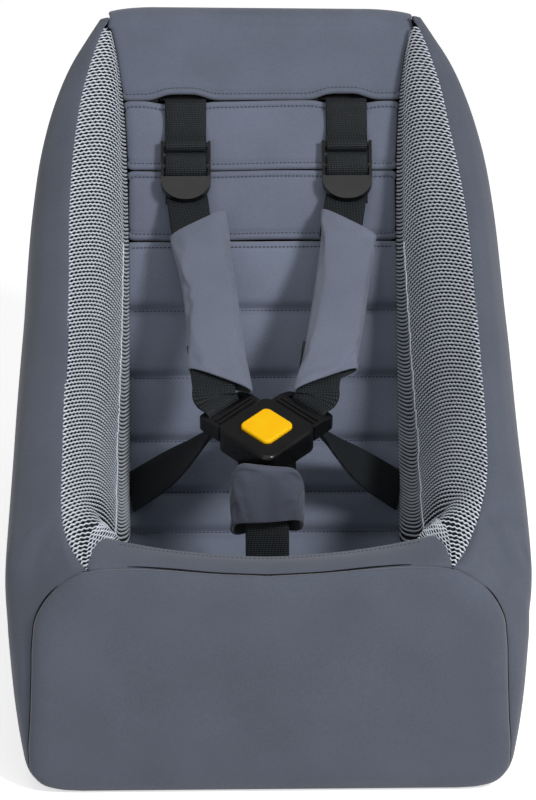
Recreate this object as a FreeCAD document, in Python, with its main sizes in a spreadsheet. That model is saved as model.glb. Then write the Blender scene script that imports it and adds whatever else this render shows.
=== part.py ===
import FreeCAD, Part
import math
import os
import re
import Sketcher
from FreeCAD import Placement, Rotation, Vector

# Driving sizes in millimetres and degrees. The seat faces -Y and stands on Z = 0.
SIZES = {
    # the padded shell
    "width_body": 292, "front_flare": 13, "front_wall": 36, "front_height": 141,
    "lip_rise": 13, "lip_sag": 5, "lip_sink": 1.4, "lip_half": 100, "lip_narrow": 6, "lip_corner_rise": 6,
    "tip_wide": 18, "tip_rise": 7, "front_round": 6, "front_top_corner": 28, "front_low_corner": 16,
    "seat_width": 162, "seat_depth": 165, "seat_height": 61, "base_depth": 262, "base_inset": 11,
    "recline": 32, "back_length": 340, "back_thick": 40, "crown_round": 14,
    "cover_thick": 3.2, "liner_thick": 7, "lining_thick": 2.5,
    # the side bolsters
    "crest_front_z": 154, "crest_lift": 4, "crest_inset": 26.5, "crest_out": 13.5,
    "side_taper": 8, "shoulder_out": 5.5,
    # strap slits and quilting along the back
    "header_long": 57, "slit_pitch": 43.4, "slit_gap": 2.6, "seam_sink": 2.5, "channel_puff": 1.5,
    # webbing and its slots
    "webbing": 25, "webbing_thick": 1.6, "slot_spare": 0.8, "clearance": 0.3,
    "shoulder_x": 49, "harness_shift": 2.7, "keeper_wide": 32, "pocket_deep": 14, "pocket_long": 30,
    # ladder locks, placed by the drop below the top slit and the lift off the back
    "loop_bar_drop": 29, "loop_bar_lift": 4, "loop_bar_round": 1.9,
    "grip_bar_drop": 42, "grip_bar_lift": 5, "grip_bar_round": 2.2,
    "lock_rail": 1.8, "rail_over": 2.4, "lock_tab_drop": 48.5, "lock_tab_long": 17, "lock_tab_round": 14.4,
    "tab_rise": 1.2, "tab_thick": 3.4, "tab_wall": 1.4, "tab_dish": 1.5, "tab_kick": 10, "tab_root": 5.5, "grip_dip": 1,
    # shoulder pads
    "pad_wide": 36, "pad_thick": 11, "pad_gap": 16, "pad_top_gap": 24, "pad_slant": 17, "pad_round": 4,
    # waist run of each strap, from its tongue to the hip seam on the back
    "hip_up": 42, "hip_lift": 6, "waist_near": 22, "waist_far": 52, "waist_sag": 5,
    # buckle, in a frame of its own that is turned an eighth of a turn
    "buckle_y": 116, "buckle_z": 161, "buckle_tilt": 15, "housing_side": 42, "housing_corner": 7,
    "housing_high": 16, "housing_split": 6, "housing_wall": 2, "housing_floor": 1.4, "housing_roof": 2.8,
    "button_side": 23, "button_corner": 4, "button_proud": 2, "button_low": 10.4, "button_travel": 2.6,
    "flange_wide": 1.2, "flange_thick": 1.5, "leg_thick": 2.5, "leg_wide": 8, "foot_low": 4.4, "foot_high": 5.9,
    "tooth_from": 14.6, "tooth_to": 18.2, "tooth_high": 2, "catch_spare": 0.25,
    "blade_tip": 13.2, "blade_wide": 18, "blade_low": 6.2, "blade_high": 9.8,
    "tongue_wide": 35, "tongue_end": 39.5, "tongue_low": 3, "tongue_high": 13, "tongue_lip": 9.6,
    "tongue_slope": 28.5, "tongue_slot_from": 31.5, "tongue_slot": 5, "tongue_corner": 5,
    "spring_round": 4, "spring_wire": 0.8, "spring_turns": 5,
    # crotch strap, its pad and the lug that takes it
    "crotch_y": 80, "lug_at": 22, "lug_bar": 4, "lug_low": 6.4, "lug_gap": 2.8, "lug_wide": 33, "wing_thick": 2.5,
    "crotch_pad_y": 91.2, "crotch_pad_wide": 43, "crotch_pad_thick": 20, "crotch_pad_wall": 4.5,
    "crotch_pad_low": 120, "crotch_pad_long": 17, "crotch_flap": 35,
    # belt loops on the rear face
    "belt_loop_half": 70, "belt_loop_flat": 25, "belt_loop_lift": 4.2, "belt_loop_rise": 7,
    "lower_belt_up": 90, "upper_belt_up": 250,
}

# Sizes that follow from others
FOLLOWS = {
    "width_front": "(width_body - 2 * front_flare)",
    "seam_half": "(width_body / 2 - crest_inset)",
    "seam_top": "(seat_width / 2 + crest_out)",
    "side_top": "(seat_width / 2 + crest_out + shoulder_out)",
    "slit_top": "(back_length - header_long)",
    "loop_bar_at": "(slit_top - loop_bar_drop)",
    "grip_bar_at": "(slit_top - grip_bar_drop)",
    "lock_tab_at": "(slit_top - lock_tab_drop)",
    "lock_tab_end": "(lock_tab_at - lock_tab_long)",
    # the straight run of a strap, from above its tongue to below its ladder lock
    "run_low": "(tongue_end + webbing_thick)",
    "run_lift": "(tongue_lip + 2 * webbing_thick)",
    "run_high": "(lock_tab_at - tab_root - lock_rail)",
    "run_in": "(run_low * sin(45 deg) * cos(buckle_tilt * 1 deg) - run_lift * sin(buckle_tilt * 1 deg) + buckle_y)",
    "run_up": "(run_low * sin(45 deg) * sin(buckle_tilt * 1 deg) + run_lift * cos(buckle_tilt * 1 deg) + buckle_z)",
    "run_x": "(shoulder_x - run_low * cos(45 deg))",
    "run_y": "(seat_depth + run_high * sin(recline * 1 deg) - grip_bar_lift * cos(recline * 1 deg) - run_in)",
    "run_z": "(seat_height + run_high * cos(recline * 1 deg) + grip_bar_lift * sin(recline * 1 deg) - run_up)",
    "pad_long": "(sqrt(run_x ^ 2 + run_y ^ 2 + run_z ^ 2) - pad_gap - pad_top_gap)",
}

# Quilting seams, as shares of the run up the back and of the run forward over the seat
QUILT_UP = (0.79, 0.58, 0.385, 0.22, 0.1)
QUILT_OUT = (0.3, 0.6, 0.85)

# Where the webbing leaves the bars of a ladder lock, in degrees round them
LOOP_TURN = 70
GRIP_TURN = 123

SIN = "sin(recline * 1 deg)"
COS = "cos(recline * 1 deg)"

doc = FreeCAD.newDocument("InfantSeat")
sheet = doc.addObject("Spreadsheet::Sheet", "Sizes")
for row, (name, number) in enumerate(SIZES.items(), 1):
    sheet.set(f"A{row}", name)
    sheet.set(f"B{row}", str(number))
    sheet.setAlias(f"B{row}", name)
doc.recompute()


def bound(formula):
    """Turn a formula in size names into one in cells of the sheet."""
    def cell(match):
        name = match[0]
        if name in FOLLOWS:
            return bound(FOLLOWS[name])
        return f"Sizes.{name}" if name in SIZES else name

    return re.sub("[a-z_]+", cell, str(formula))


def value(formula):
    """The number that a formula in size names has now."""
    return float(sheet.evalExpression(bound(formula)))


# Formulas shared by several pieces
DEPTH = f"(seat_depth + back_length * {SIN} + back_thick * {COS})"
REAR_RISE = f"(seat_height + back_length * {COS} - back_thick * {SIN})"
REAR_SLOPE = f"(({DEPTH} - base_depth) / {REAR_RISE})"
FOAM_JOIN = f"(0 - liner_thick * (1 - {SIN}) / {COS})"
SPLIT_Y = f"(seat_depth + {FOAM_JOIN} * {SIN} + liner_thick * {COS})"
CORNER_Y = f"(base_depth + cover_thick * ({REAR_SLOPE} - sqrt(1 + {REAR_SLOPE} ^ 2)))"
# Bolster sections up the rear face: share of the crest's length, and climb of the rear face
REAR_PLAN = ((0.62, 0.34), (0.76, 0.6), (0.87, 0.8), (0.95, 0.93), (1, 1))

STRAP_HALF = "(webbing / 2)"
SLOT_HALF = "(webbing / 2 + slot_spare)"


def side_half(share):
    """Formula for a bolster's outer half width at a share of its length, rounding in to the top."""
    plain = f"(width_body / 2 - side_taper * {share ** 1.5:.4f})"
    return f"({plain} + (side_top - {plain}) * {share ** 6.5:.4f})"


def back_point(y, z):
    """A place in side view, as distance up the back and lift off it."""
    run = f"(({y}) - seat_depth)"
    rise = f"(({z}) - seat_height)"
    return f"({run} * {SIN} + {rise} * {COS})", f"({rise} * {SIN} - {run} * {COS})"


# Frames: front of the seat, reclined back, rear face, buckle
X_AXIS = Vector(1, 0, 0)
Z_AXIS = Vector(0, 0, 1)
FRONT = Placement(Vector(0, -value(DEPTH) / 2, 0), Rotation())
BACK = FRONT * Placement(Vector(0, value("seat_depth"), value("seat_height")),
                         Rotation(X_AXIS, 90 - value("recline")))
REAR = FRONT * Placement(Vector(0, value("base_depth"), 0),
                         Rotation(X_AXIS, 90 - math.degrees(math.atan(value(REAR_SLOPE)))))
BUCKLE_FLAT = FRONT * Placement(Vector(0, value("buckle_y"), value("buckle_z")),
                                Rotation(X_AXIS, value("buckle_tilt")))
BUCKLE = BUCKLE_FLAT * Placement(Vector(), Rotation(Z_AXIS, 45))
TONGUES = {"right": BUCKLE, "left": BUCKLE * Placement(Vector(), Rotation(Z_AXIS, 90))}
SIDES = {"left": -1, "right": 1}


# Building blocks
def new_body(label, place):
    body = doc.addObject("PartDesign::Body", label)
    body.Label = label
    body.Placement = place
    return body


def attach(body, sketch, plane, lift):
    """Lay a sketch on one of its body's origin planes, lifted along the plane's normal."""
    support = [plane_ for plane_ in body.Origin.OriginFeatures if plane_.Role == plane][0]
    sketch.AttachmentSupport = [(support, "")]
    sketch.MapMode = "FlatFace"
    sketch.setExpression("AttachmentOffset.Base.z", bound(lift))


def outline(body, plane, corners, lift="0"):
    """A closed sketch of straight lines with every corner tied to the sheet."""
    sketch = body.newObject("Sketcher::SketchObject", "Outline")
    attach(body, sketch, plane, lift)
    points = [Vector(value(across), value(up), 0) for across, up in corners]
    count = len(points)
    for i in range(count):
        sketch.addGeometry(Part.LineSegment(points[i], points[(i + 1) % count]), False)
    for i in range(count):
        sketch.addConstraint(Sketcher.Constraint("Coincident", i, 2, (i + 1) % count, 1))
    for i, (across, up) in enumerate(corners):
        for kind, formula, number in (("DistanceX", across, points[i].x), ("DistanceY", up, points[i].y)):
            index = sketch.addConstraint(Sketcher.Constraint(kind, i, 1, number))
            sketch.setExpression(f"Constraints[{index}]", bound(formula))
    return sketch


def sagging(body, half, edge, middle, lift):
    """A sketch of the space above the lip: an arc that sags to the middle, with banks beside it."""
    bank = f"({half}) + tip_wide"
    shore = f"({edge}) + tip_rise"
    sky = f"({edge}) + 4 * lip_rise"
    corners = [(half, edge), (bank, shore), (bank, sky), (f"0 - ({bank})", sky), (f"0 - ({bank})", shore),
               (f"0 - ({half})", edge)]
    sketch = body.newObject("Sketcher::SketchObject", "Sag")
    attach(body, sketch, "XZ_Plane", lift)
    points = [Vector(value(across), value(up), 0) for across, up in corners]
    last = len(points) - 1
    for a, b in zip(points, points[1:]):
        sketch.addGeometry(Part.LineSegment(a, b), False)
    sketch.addGeometry(Part.Arc(points[last], Vector(0, value(middle), 0), points[0]), False)
    for i in range(last):
        sketch.addConstraint(Sketcher.Constraint("Coincident", i, 2, (i + 1), 1))
    sketch.addConstraint(Sketcher.Constraint("Coincident", last, 2, 0, 1))
    for i, (across, up) in enumerate(corners):
        for kind, formula, number in (("DistanceX", across, points[i].x), ("DistanceY", up, points[i].y)):
            index = sketch.addConstraint(Sketcher.Constraint(kind, i, 1, number))
            sketch.setExpression(f"Constraints[{index}]", bound(formula))
    sag = f"(({edge}) - ({middle}))"
    radius = f"((({half}) ^ 2 + {sag} ^ 2) / (2 * {sag}))"
    index = sketch.addConstraint(Sketcher.Constraint("Radius", last, value(radius)))
    sketch.setExpression(f"Constraints[{index}]", bound(radius))
    return sketch


def pad(body, sketch, length, symmetric=False, cut=False):
    """Push a sketch into a solid, or cut it out of one evenly both ways."""
    feature = body.newObject("PartDesign::Pocket" if cut else "PartDesign::Pad", "Cut" if cut else "Pad")
    feature.Profile = sketch
    if symmetric:
        feature.SideType = "Symmetric"
    feature.setExpression("Length", bound(length))
    return feature


def box(body, x, y, z, cut=False, turn=0):
    """A block between pairs of formulas, added or cut, turned about its body's Z axis."""
    feature = body.newObject("PartDesign::SubtractiveBox" if cut else "PartDesign::AdditiveBox", "Block")
    for size, (low, high) in (("Length", x), ("Width", y), ("Height", z)):
        feature.setExpression(size, bound(f"({high}) - ({low})"))
    flat = Rotation(Z_AXIS, turn)
    feature.Placement = Placement(flat.multVec(Vector(value(x[0]), value(y[0]), value(z[0]))), flat)
    return feature


def bar(body, half, at, lift, radius):
    """A round bar along X."""
    feature = body.newObject("PartDesign::AdditiveCylinder", "Bar")
    feature.setExpression("Radius", bound(radius))
    feature.setExpression("Height", bound(f"2 * ({half})"))
    feature.Placement = Placement(Vector(-value(half), value(at), value(lift)), Rotation(Vector(0, 1, 0), 90))


def round_edges(body, radius, chosen):
    """Round the edges of the body so far that the test picks."""
    doc.recompute()
    base = body.Tip
    names = [f"Edge{i}" for i, edge in enumerate(base.Shape.Edges, 1) if chosen(edge)]
    feature = body.newObject("PartDesign::Fillet", "Round")
    feature.Base = (base, names)
    feature.setExpression("Radius", bound(radius))


def along(edge, axis):
    """Whether a straight edge runs along an axis within half a right angle or so."""
    run = edge.Vertexes[-1].Point - edge.Vertexes[0].Point
    return run.Length > 0.1 and abs(run.normalize().dot(axis)) > 0.8


def solid(label, shape, place):
    piece = doc.addObject("Part::Feature", label)
    piece.Label = label
    piece.Shape = shape
    piece.Placement = place
    return piece


def band(path, thick):
    """The outline of a strip of even thickness along a path of points in side view."""
    path = [Vector(0, across, up) for across, up in path]
    runs = [(after - before).normalize() for before, after in zip(path, path[1:])]
    sides = [X_AXIS.cross(run) for run in runs]
    left, right = [], []
    for i, point in enumerate(path):
        before = sides[max(i - 1, 0)]
        after = sides[min(i, len(sides) - 1)]
        mitre = (before + after).normalize()
        offset = mitre * (thick / 2 / mitre.dot(after))
        left.append(point + offset)
        right.append(point - offset)
    return left + right[::-1]


def prism(points, half):
    """A side-view outline pushed out evenly to both sides along X."""
    face = Part.Face(Part.makePolygon(points + points[:1]))
    face.translate(X_AXIS * -half)
    return face.extrude(X_AXIS * half * 2)


def ribbon(frames, wide, thick):
    """A strip of webbing through frames of (point, way along, way across)."""
    wires = []
    for point, forward, across in frames:
        across = (across - forward * across.dot(forward)).normalize()
        up = across.cross(forward).normalize()
        reach = across * (wide / 2)
        rise = up * (thick / 2)
        corners = [point - reach - rise, point + reach - rise, point + reach + rise, point - reach + rise]
        wires.append(Part.makePolygon(corners + corners[:1]))
    return Part.makeLoft(wires, True, True)


# Foam and covers of the shell
def front_block(label, skin):
    """The front wall, flaring back to the bolsters, with a sagging lip, inset by a skin."""
    body = new_body(label, FRONT)
    top = f"front_height - {skin}"
    sections = []
    for back, half, high in (("front_wall", "width_body / 2", f"{top} + lip_rise"), (skin, "width_front / 2", top)):
        right = f"{half} - {skin}"
        left = f"0 - ({right})"
        corners = [(left, skin), (right, skin), (right, high), (left, high)]
        sections.append(outline(body, "XZ_Plane", corners, f"0 - ({back})"))
    loft = body.newObject("PartDesign::AdditiveLoft", "Wall")
    loft.Profile = sections[0]
    loft.Sections = sections[1:]
    loft.Ruled = True
    middle = value("front_height / 2")
    toward_back = Vector(0, 1, 0)
    round_edges(body, f"front_top_corner - {skin}",
                lambda e: along(e, toward_back) and e.CenterOfMass.z > middle)
    round_edges(body, f"front_low_corner - {skin}",
                lambda e: along(e, toward_back) and e.CenterOfMass.z < middle)
    front = value(skin)
    round_edges(body, "front_round", lambda e: e.BoundBox.YMax < front + 0.01)
    middle = f"front_height - lip_sag - {skin}"
    front_lip = sagging(body, "lip_half", top, middle, "0")
    rear_lip = sagging(body, "lip_half - lip_narrow", f"{top} + lip_corner_rise", f"{middle} - lip_sink",
                       "0 - front_wall")
    hollow = body.newObject("PartDesign::SubtractiveLoft", "Lip")
    hollow.Profile = front_lip
    hollow.Sections = [rear_lip]
    hollow.Ruled = True
    return body


def seat_foam():
    body = new_body("seat_foam", FRONT)
    front = "front_wall + lining_thick"
    top = "seat_height - liner_thick"
    corners = [(front, "cover_thick"), (SPLIT_Y, "cover_thick"), (SPLIT_Y, top), (front, top)]
    pad(body, outline(body, "YZ_Plane", corners), "seat_width", symmetric=True)
    strap = ("crotch_y - 1.5 * webbing_thick", "crotch_y + 1.5 * webbing_thick")
    box(body, (f"0 - {SLOT_HALF}", SLOT_HALF), strap, ("0", "seat_height"), cut=True)
    recess = ("crotch_y - 2 * webbing_thick", "crotch_y + 8 * webbing_thick")
    keeper = "(keeper_wide / 2 + slot_spare)"
    box(body, (f"0 - {keeper}", keeper), recess, ("0", "7 * webbing_thick"), cut=True)


def back_foam():
    body = new_body("back_foam", BACK)
    base = back_point("base_depth", "0")
    slope = f"((0 - back_thick - {base[1]}) / (back_length - {base[0]}))"
    top = "back_length - cover_thick"
    rear = f"0 - back_thick - {slope} * cover_thick + cover_thick * sqrt(1 + {slope} ^ 2)"
    corners = [back_point(SPLIT_Y, "cover_thick"), (FOAM_JOIN, "0 - liner_thick"), ("slit_top", "0 - liner_thick"),
               ("slit_top", "0 - cover_thick"), (top, "0 - cover_thick"), (top, rear),
               back_point(CORNER_Y, "cover_thick")]
    pad(body, outline(body, "YZ_Plane", corners), "seat_width", symmetric=True)
    crest = value("back_length - cover_thick")
    round_edges(body, "crown_round - cover_thick",
                lambda e: along(e, X_AXIS) and e.CenterOfMass.y > crest - 0.1 and e.CenterOfMass.z > -5)
    half = "(keeper_wide / 2 + slot_spare)"
    for sign in SIDES.values():
        middle = f"(shoulder_x * {sign} + harness_shift)"
        box(body, (f"{middle} - {half}", f"{middle} + {half}"),
            ("slit_top - pocket_long / 2", "slit_top + pocket_long / 2"), ("0 - pocket_deep", "0"), cut=True)


def header_cover():
    """The plain panel from the top slit over the crown to the rear face."""
    body = new_body("header_cover", BACK)
    low = "slit_top + slit_gap / 2"
    rear = "2 * cover_thick - back_thick"
    inner = "back_length - cover_thick"
    corners = [(low, "0"), ("back_length", "0"), ("back_length", rear), (inner, rear),
               (inner, "0 - cover_thick"), (low, "0 - cover_thick")]
    pad(body, outline(body, "YZ_Plane", corners), "seat_width", symmetric=True)
    outer = value("back_length") - 0.1
    round_edges(body, "crown_round",
                lambda e: along(e, X_AXIS) and e.CenterOfMass.y > outer and e.CenterOfMass.z > -1)
    bend = Vector(0, value(inner), -value("cover_thick"))
    round_edges(body, "crown_round - cover_thick",
                lambda e: along(e, X_AXIS) and (e.CenterOfMass - bend).Length < 0.1)


def flat_covers():
    """The bottom and rear covers, and the lining on the seat side of the front wall."""
    half = "(width_body / 2 - base_inset)"
    bottom = new_body("bottom_cover", FRONT)
    box(bottom, (f"0 - {half}", half), ("front_wall", "base_depth - cover_thick"), ("0", "cover_thick"))

    rear = new_body("rear_cover", REAR)
    length = f"({REAR_RISE} * sqrt(1 + {REAR_SLOPE} ^ 2))"
    edge = [(half, "0")]
    edge += [(f"({side_half(share)} - base_inset)", f"{length} * {climb}") for share, climb in REAR_PLAN]
    corners = edge + [(f"0 - {across}", up) for across, up in edge[::-1]]
    pad(rear, outline(rear, "XY_Plane", corners), "cover_thick")

    lining = new_body("inner_front_lining", FRONT)
    box(lining, ("0 - seat_width / 2", "seat_width / 2"), ("front_wall", "front_wall + lining_thick"),
        ("seat_height - liner_thick", "front_height - lip_sag - lining_thick"))


# Side bolsters: sections fan out from the base and rear face up to the crest
def bolster_sections():
    """For each section its side-view base and crest, its floor height and its half widths."""
    rear_base = Vector(0, value(CORNER_Y), value("cover_thick"))
    inward = Vector(0, -1, value(REAR_SLOPE)).normalize()
    rear_top = Vector(0, value(DEPTH), value(REAR_RISE)) + inward * value("cover_thick")
    back_foot = Vector(0, value("seat_depth"), value("seat_height"))
    back_way = Vector(0, value(SIN), value(COS))
    crest_low = Vector(0, value("front_wall"), value("crest_front_z"))
    crest_high = back_foot + back_way * value("back_length") + Vector(0, -1, 1) * value("crest_lift / 2")
    base_low = Vector(0, value("front_wall"), value("cover_thick"))
    plan = [(0, base_low), (0.13, base_low + (rear_base - base_low) * 0.28),
            (0.3, base_low + (rear_base - base_low) * 0.6), (0.46, rear_base)]
    for share, climb in REAR_PLAN:
        plan.append((share, rear_base + (rear_top - rear_base) * climb))
    for share, base in plan:
        crest = crest_low + (crest_high - crest_low) * share
        way = (crest - base).normalize()
        if share < 0.4:
            floor = (back_foot.z - base.z) / way.z
        else:
            lift = Vector(0, -back_way.z, back_way.y)
            floor = (back_foot - base).dot(lift) / way.dot(lift)
        seam = value("seam_half") + value("seam_top - seam_half") * share ** 4
        yield base, crest, floor, seam, value(side_half(share))


def bolster(sign):
    """Foam, smooth outer cover and inner mesh of one bolster, as wires lofted through the sections."""
    skin = value("cover_thick")
    inner = value("seat_width / 2")
    foam, cover, mesh = [], [], []
    for base, crest, floor, seam, side in bolster_sections():
        way = (crest - base).normalize()
        high = (crest - base).Length
        foot = side - value("base_inset")

        def at(x, climb):
            return base + way * climb + X_AXIS * x * sign

        def curve(points):
            spline = Part.BSplineCurve()
            spline.interpolate([at(*point) for point in points])
            return spline.toShape()

        def sweep(poles):
            bow = Part.BezierCurve()
            bow.setPoles([at(*pole) for pole in poles])
            return bow.toShape()

        def line(start, end):
            return Part.makeLine(at(*start), at(*end))

        rise = high - floor
        bow = inner + 0.25 * (seam - inner)
        mesh_out = [(inner, floor), (inner, floor + 0.55 * rise), (bow, floor + 0.75 * rise), (seam, high)]
        mesh_in = [(inner + skin, floor), (inner + skin, floor + 0.55 * rise - 0.2 * skin),
                   (bow + 0.8 * skin, floor + 0.75 * rise - 0.5 * skin), (seam, high - skin)]
        roll = (seam + 0.62 * (side - seam), high - 0.04 * high)
        cover_out = [(seam, high), roll, (side, 0.8 * high), (side - 3, 0.35 * high), (foot, 0)]
        cover_in = [(seam, high - skin), (roll[0] - 0.4 * skin, roll[1] - 0.9 * skin),
                    (side - skin, 0.8 * high), (side - 3 - skin, 0.35 * high), (foot - skin, 0)]
        mesh.append(Part.Wire([sweep(mesh_out), line(mesh_out[-1], mesh_in[-1]),
                               sweep(mesh_in[::-1]), line(mesh_in[0], mesh_out[0])]))
        cover.append(Part.Wire([curve(cover_out), line(cover_out[-1], cover_in[-1]),
                                curve(cover_in[::-1]), line(cover_in[0], cover_out[0])]))
        foam.append(Part.Wire([sweep(mesh_in), curve(cover_in), line(cover_in[-1], (inner, 0)),
                               line((inner, 0), mesh_out[0]), line(mesh_out[0], mesh_in[0])]))
    return [Part.makeLoft(wires, True, True) for wires in (foam, cover, mesh)]


# Liner
def slit_panels():
    """The two plain panels between the three rows of slits."""
    for step, label in enumerate(("liner_upper_panel", "liner_middle_panel")):
        body = new_body(label, BACK)
        high = f"slit_top - slit_pitch * {step} - slit_gap / 2"
        low = f"slit_top - slit_pitch * {step + 1} + slit_gap / 2"
        box(body, ("0 - seat_width / 2", "seat_width / 2"), (low, high), ("0 - liner_thick", "0"))
        round_edges(body, "slit_gap", lambda e: along(e, X_AXIS) and e.CenterOfMass.z > -0.1)


def seat_liner():
    """The quilted lower liner: puffed channels down the back and forward over the seat."""
    sink = value("seam_sink")
    puff = value("channel_puff")
    under = value("liner_thick")
    lean = math.radians(value("recline"))
    foot = Vector(0, value("seat_depth"), value("seat_height"))

    def on_back(length, lift):
        return foot + Vector(0, length * math.sin(lean) - lift * math.cos(lean),
                             length * math.cos(lean) + lift * math.sin(lean))

    def on_seat(forward, lift):
        return foot + Vector(0, -forward, lift)

    top = value("slit_top - slit_pitch * 2 - slit_gap / 2")
    valley = -sink * (1 - math.sin(lean)) / math.cos(lean)
    back_seams = [top] + [top * share for share in QUILT_UP] + [valley]
    front = value("seat_depth - front_wall - lining_thick")
    start = -on_back(valley, -sink).y + foot.y
    seat_seams = [start] + [front * share for share in QUILT_OUT] + [front]
    edges = []
    for seams, place in ((back_seams, on_back), (seat_seams, on_seat)):
        for a, b in zip(seams, seams[1:]):
            edges.append(Part.Arc(place(a, -sink), place((a + b) / 2, puff), place(b, -sink)).toShape())
    join = on_back(value(FOAM_JOIN), -under)
    rim = [on_seat(front, -sink), on_seat(front, -under), join, on_back(top, -under), on_back(top, -sink)]
    edges += [Part.makeLine(a, b) for a, b in zip(rim, rim[1:])]
    half = value("seat_width / 2")
    face = Part.Face(Part.Wire(edges))
    face.translate(X_AXIS * -half)
    liner = face.extrude(X_AXIS * half * 2)
    slot = value(SLOT_HALF)
    gap = value("1.5 * webbing_thick")
    cut = Part.makeBox(2 * slot, 2 * gap, 4 * under, Vector(-slot, value("crotch_y") - gap, foot.z - 2 * under))
    solid("seat_liner", liner.cut(cut), FRONT)


# Shoulder straps, keepers and ladder locks
def shoulder(side):
    """The frame of one shoulder strap on the back; the worn harness hangs a little to one side."""
    return BACK * Placement(X_AXIS * (value("shoulder_x") * SIDES[side] + value("harness_shift")), Rotation())


def around(at, lift, radius, start, stop, steps=8):
    """Points on a round bend, by angles in degrees."""
    turns = [math.radians(start + (stop - start) * i / steps) for i in range(steps + 1)]
    return [(at + radius * math.cos(turn), lift + radius * math.sin(turn)) for turn in turns]


def shoulder_loops():
    """Webbing from the keeper, out of the top slit and round the ladder lock's upper bar."""
    thick = value("webbing_thick")
    slit = value("slit_top")
    bar_at = value("loop_bar_at")
    bar_lift = value("loop_bar_lift")
    wrap = value("loop_bar_round + clearance") + thick / 2
    under = bar_lift - wrap
    over = under + thick + 0.25
    path = [(slit + 6 * thick, -3 * thick), (slit + 6 * thick, -6.4 * thick), (slit, -6.4 * thick),
            (slit, over - thick), (slit - thick, over), (bar_at + 4 * wrap, over)]
    path += around(bar_at, bar_lift, wrap, LOOP_TURN, 270)
    path.append((bar_at + 3.6 * wrap, under))
    keeper = [(slit + 0.5 * thick + 0.6, -5.5 * thick), (slit + 5.5 * thick - 0.6, -5.5 * thick),
              (slit + 5.5 * thick - 0.6, -3.5 * thick), (slit + 0.5 * thick + 0.6, -3.5 * thick)]
    keeper = [Vector(0, across, up) for across, up in keeper]
    for side in SIDES:
        place = shoulder(side)
        solid(f"shoulder_loop_{side}", prism(band(path, thick), value(STRAP_HALF)), place)
        solid(f"strap_keeper_{side}", prism(keeper, value("keeper_wide / 2")), place)


def ladder_locks():
    """Adjusters: two bars between thin rails, and a dished thumb tab with a raised rim."""
    for side in SIDES:
        body = new_body(f"ladder_lock_{side}", shoulder(side))
        half = f"({SLOT_HALF} + lock_rail)"
        low = "grip_bar_lift + tab_rise"
        tab = [("lock_tab_at", low), ("lock_tab_at", f"{low} + tab_thick"),
               ("lock_tab_end + tab_thick / 2", "grip_bar_lift + tab_kick"),
               ("lock_tab_end", "grip_bar_lift + tab_kick - tab_thick * 0.8"), ("lock_tab_at - tab_root", low)]
        pad(body, outline(body, "YZ_Plane", tab), f"2 * {half}", symmetric=True)
        end = value("lock_tab_end + tab_thick / 2") + 0.5
        round_edges(body, "lock_tab_round", lambda e: not along(e, X_AXIS) and e.BoundBox.YMax < end)
        dish = body.newObject("PartDesign::SubtractiveCylinder", "Dish")
        dish.setExpression("Radius", bound(f"{half} - tab_wall"))
        dish.setExpression("Height", bound("tab_thick"))
        lean = math.atan2(value("tab_kick - tab_rise - tab_thick"), value("lock_tab_long - tab_thick / 2"))
        radius = value("lock_tab_round")
        middle = Vector(0, value("lock_tab_end + tab_thick / 2") + radius * math.cos(lean),
                        value("grip_bar_lift + tab_kick") - radius * math.sin(lean))
        normal = Vector(0, math.sin(lean), math.cos(lean))
        dish.Placement = Placement(middle - normal * value("tab_dish"), Rotation(X_AXIS, -math.degrees(lean)))
        for inner, outer in ((f"0 - {half}", f"0 - {SLOT_HALF}"), (SLOT_HALF, half)):
            box(body, (inner, outer), ("lock_tab_at - tab_root", "loop_bar_at + rail_over"),
                ("loop_bar_lift - loop_bar_round", f"{low} + tab_thick / 5"))
        bar(body, half, "loop_bar_at", "loop_bar_lift", "loop_bar_round")
        bar(body, half, "grip_bar_at", "grip_bar_lift", "grip_bar_round")


def strap_route(side):
    """The slot's top, the way up to the ladder lock and the way across the pad."""
    slot_top = TONGUES[side].multVec(Vector(value("run_low"), 0, value("run_lift")))
    lock = shoulder(side).multVec(Vector(0, value("run_high"), value("grip_bar_lift")))
    up = (lock - slot_top).normalize()
    across = (X_AXIS - up * up.x).normalize()
    return slot_top, lock, up, across


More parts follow.
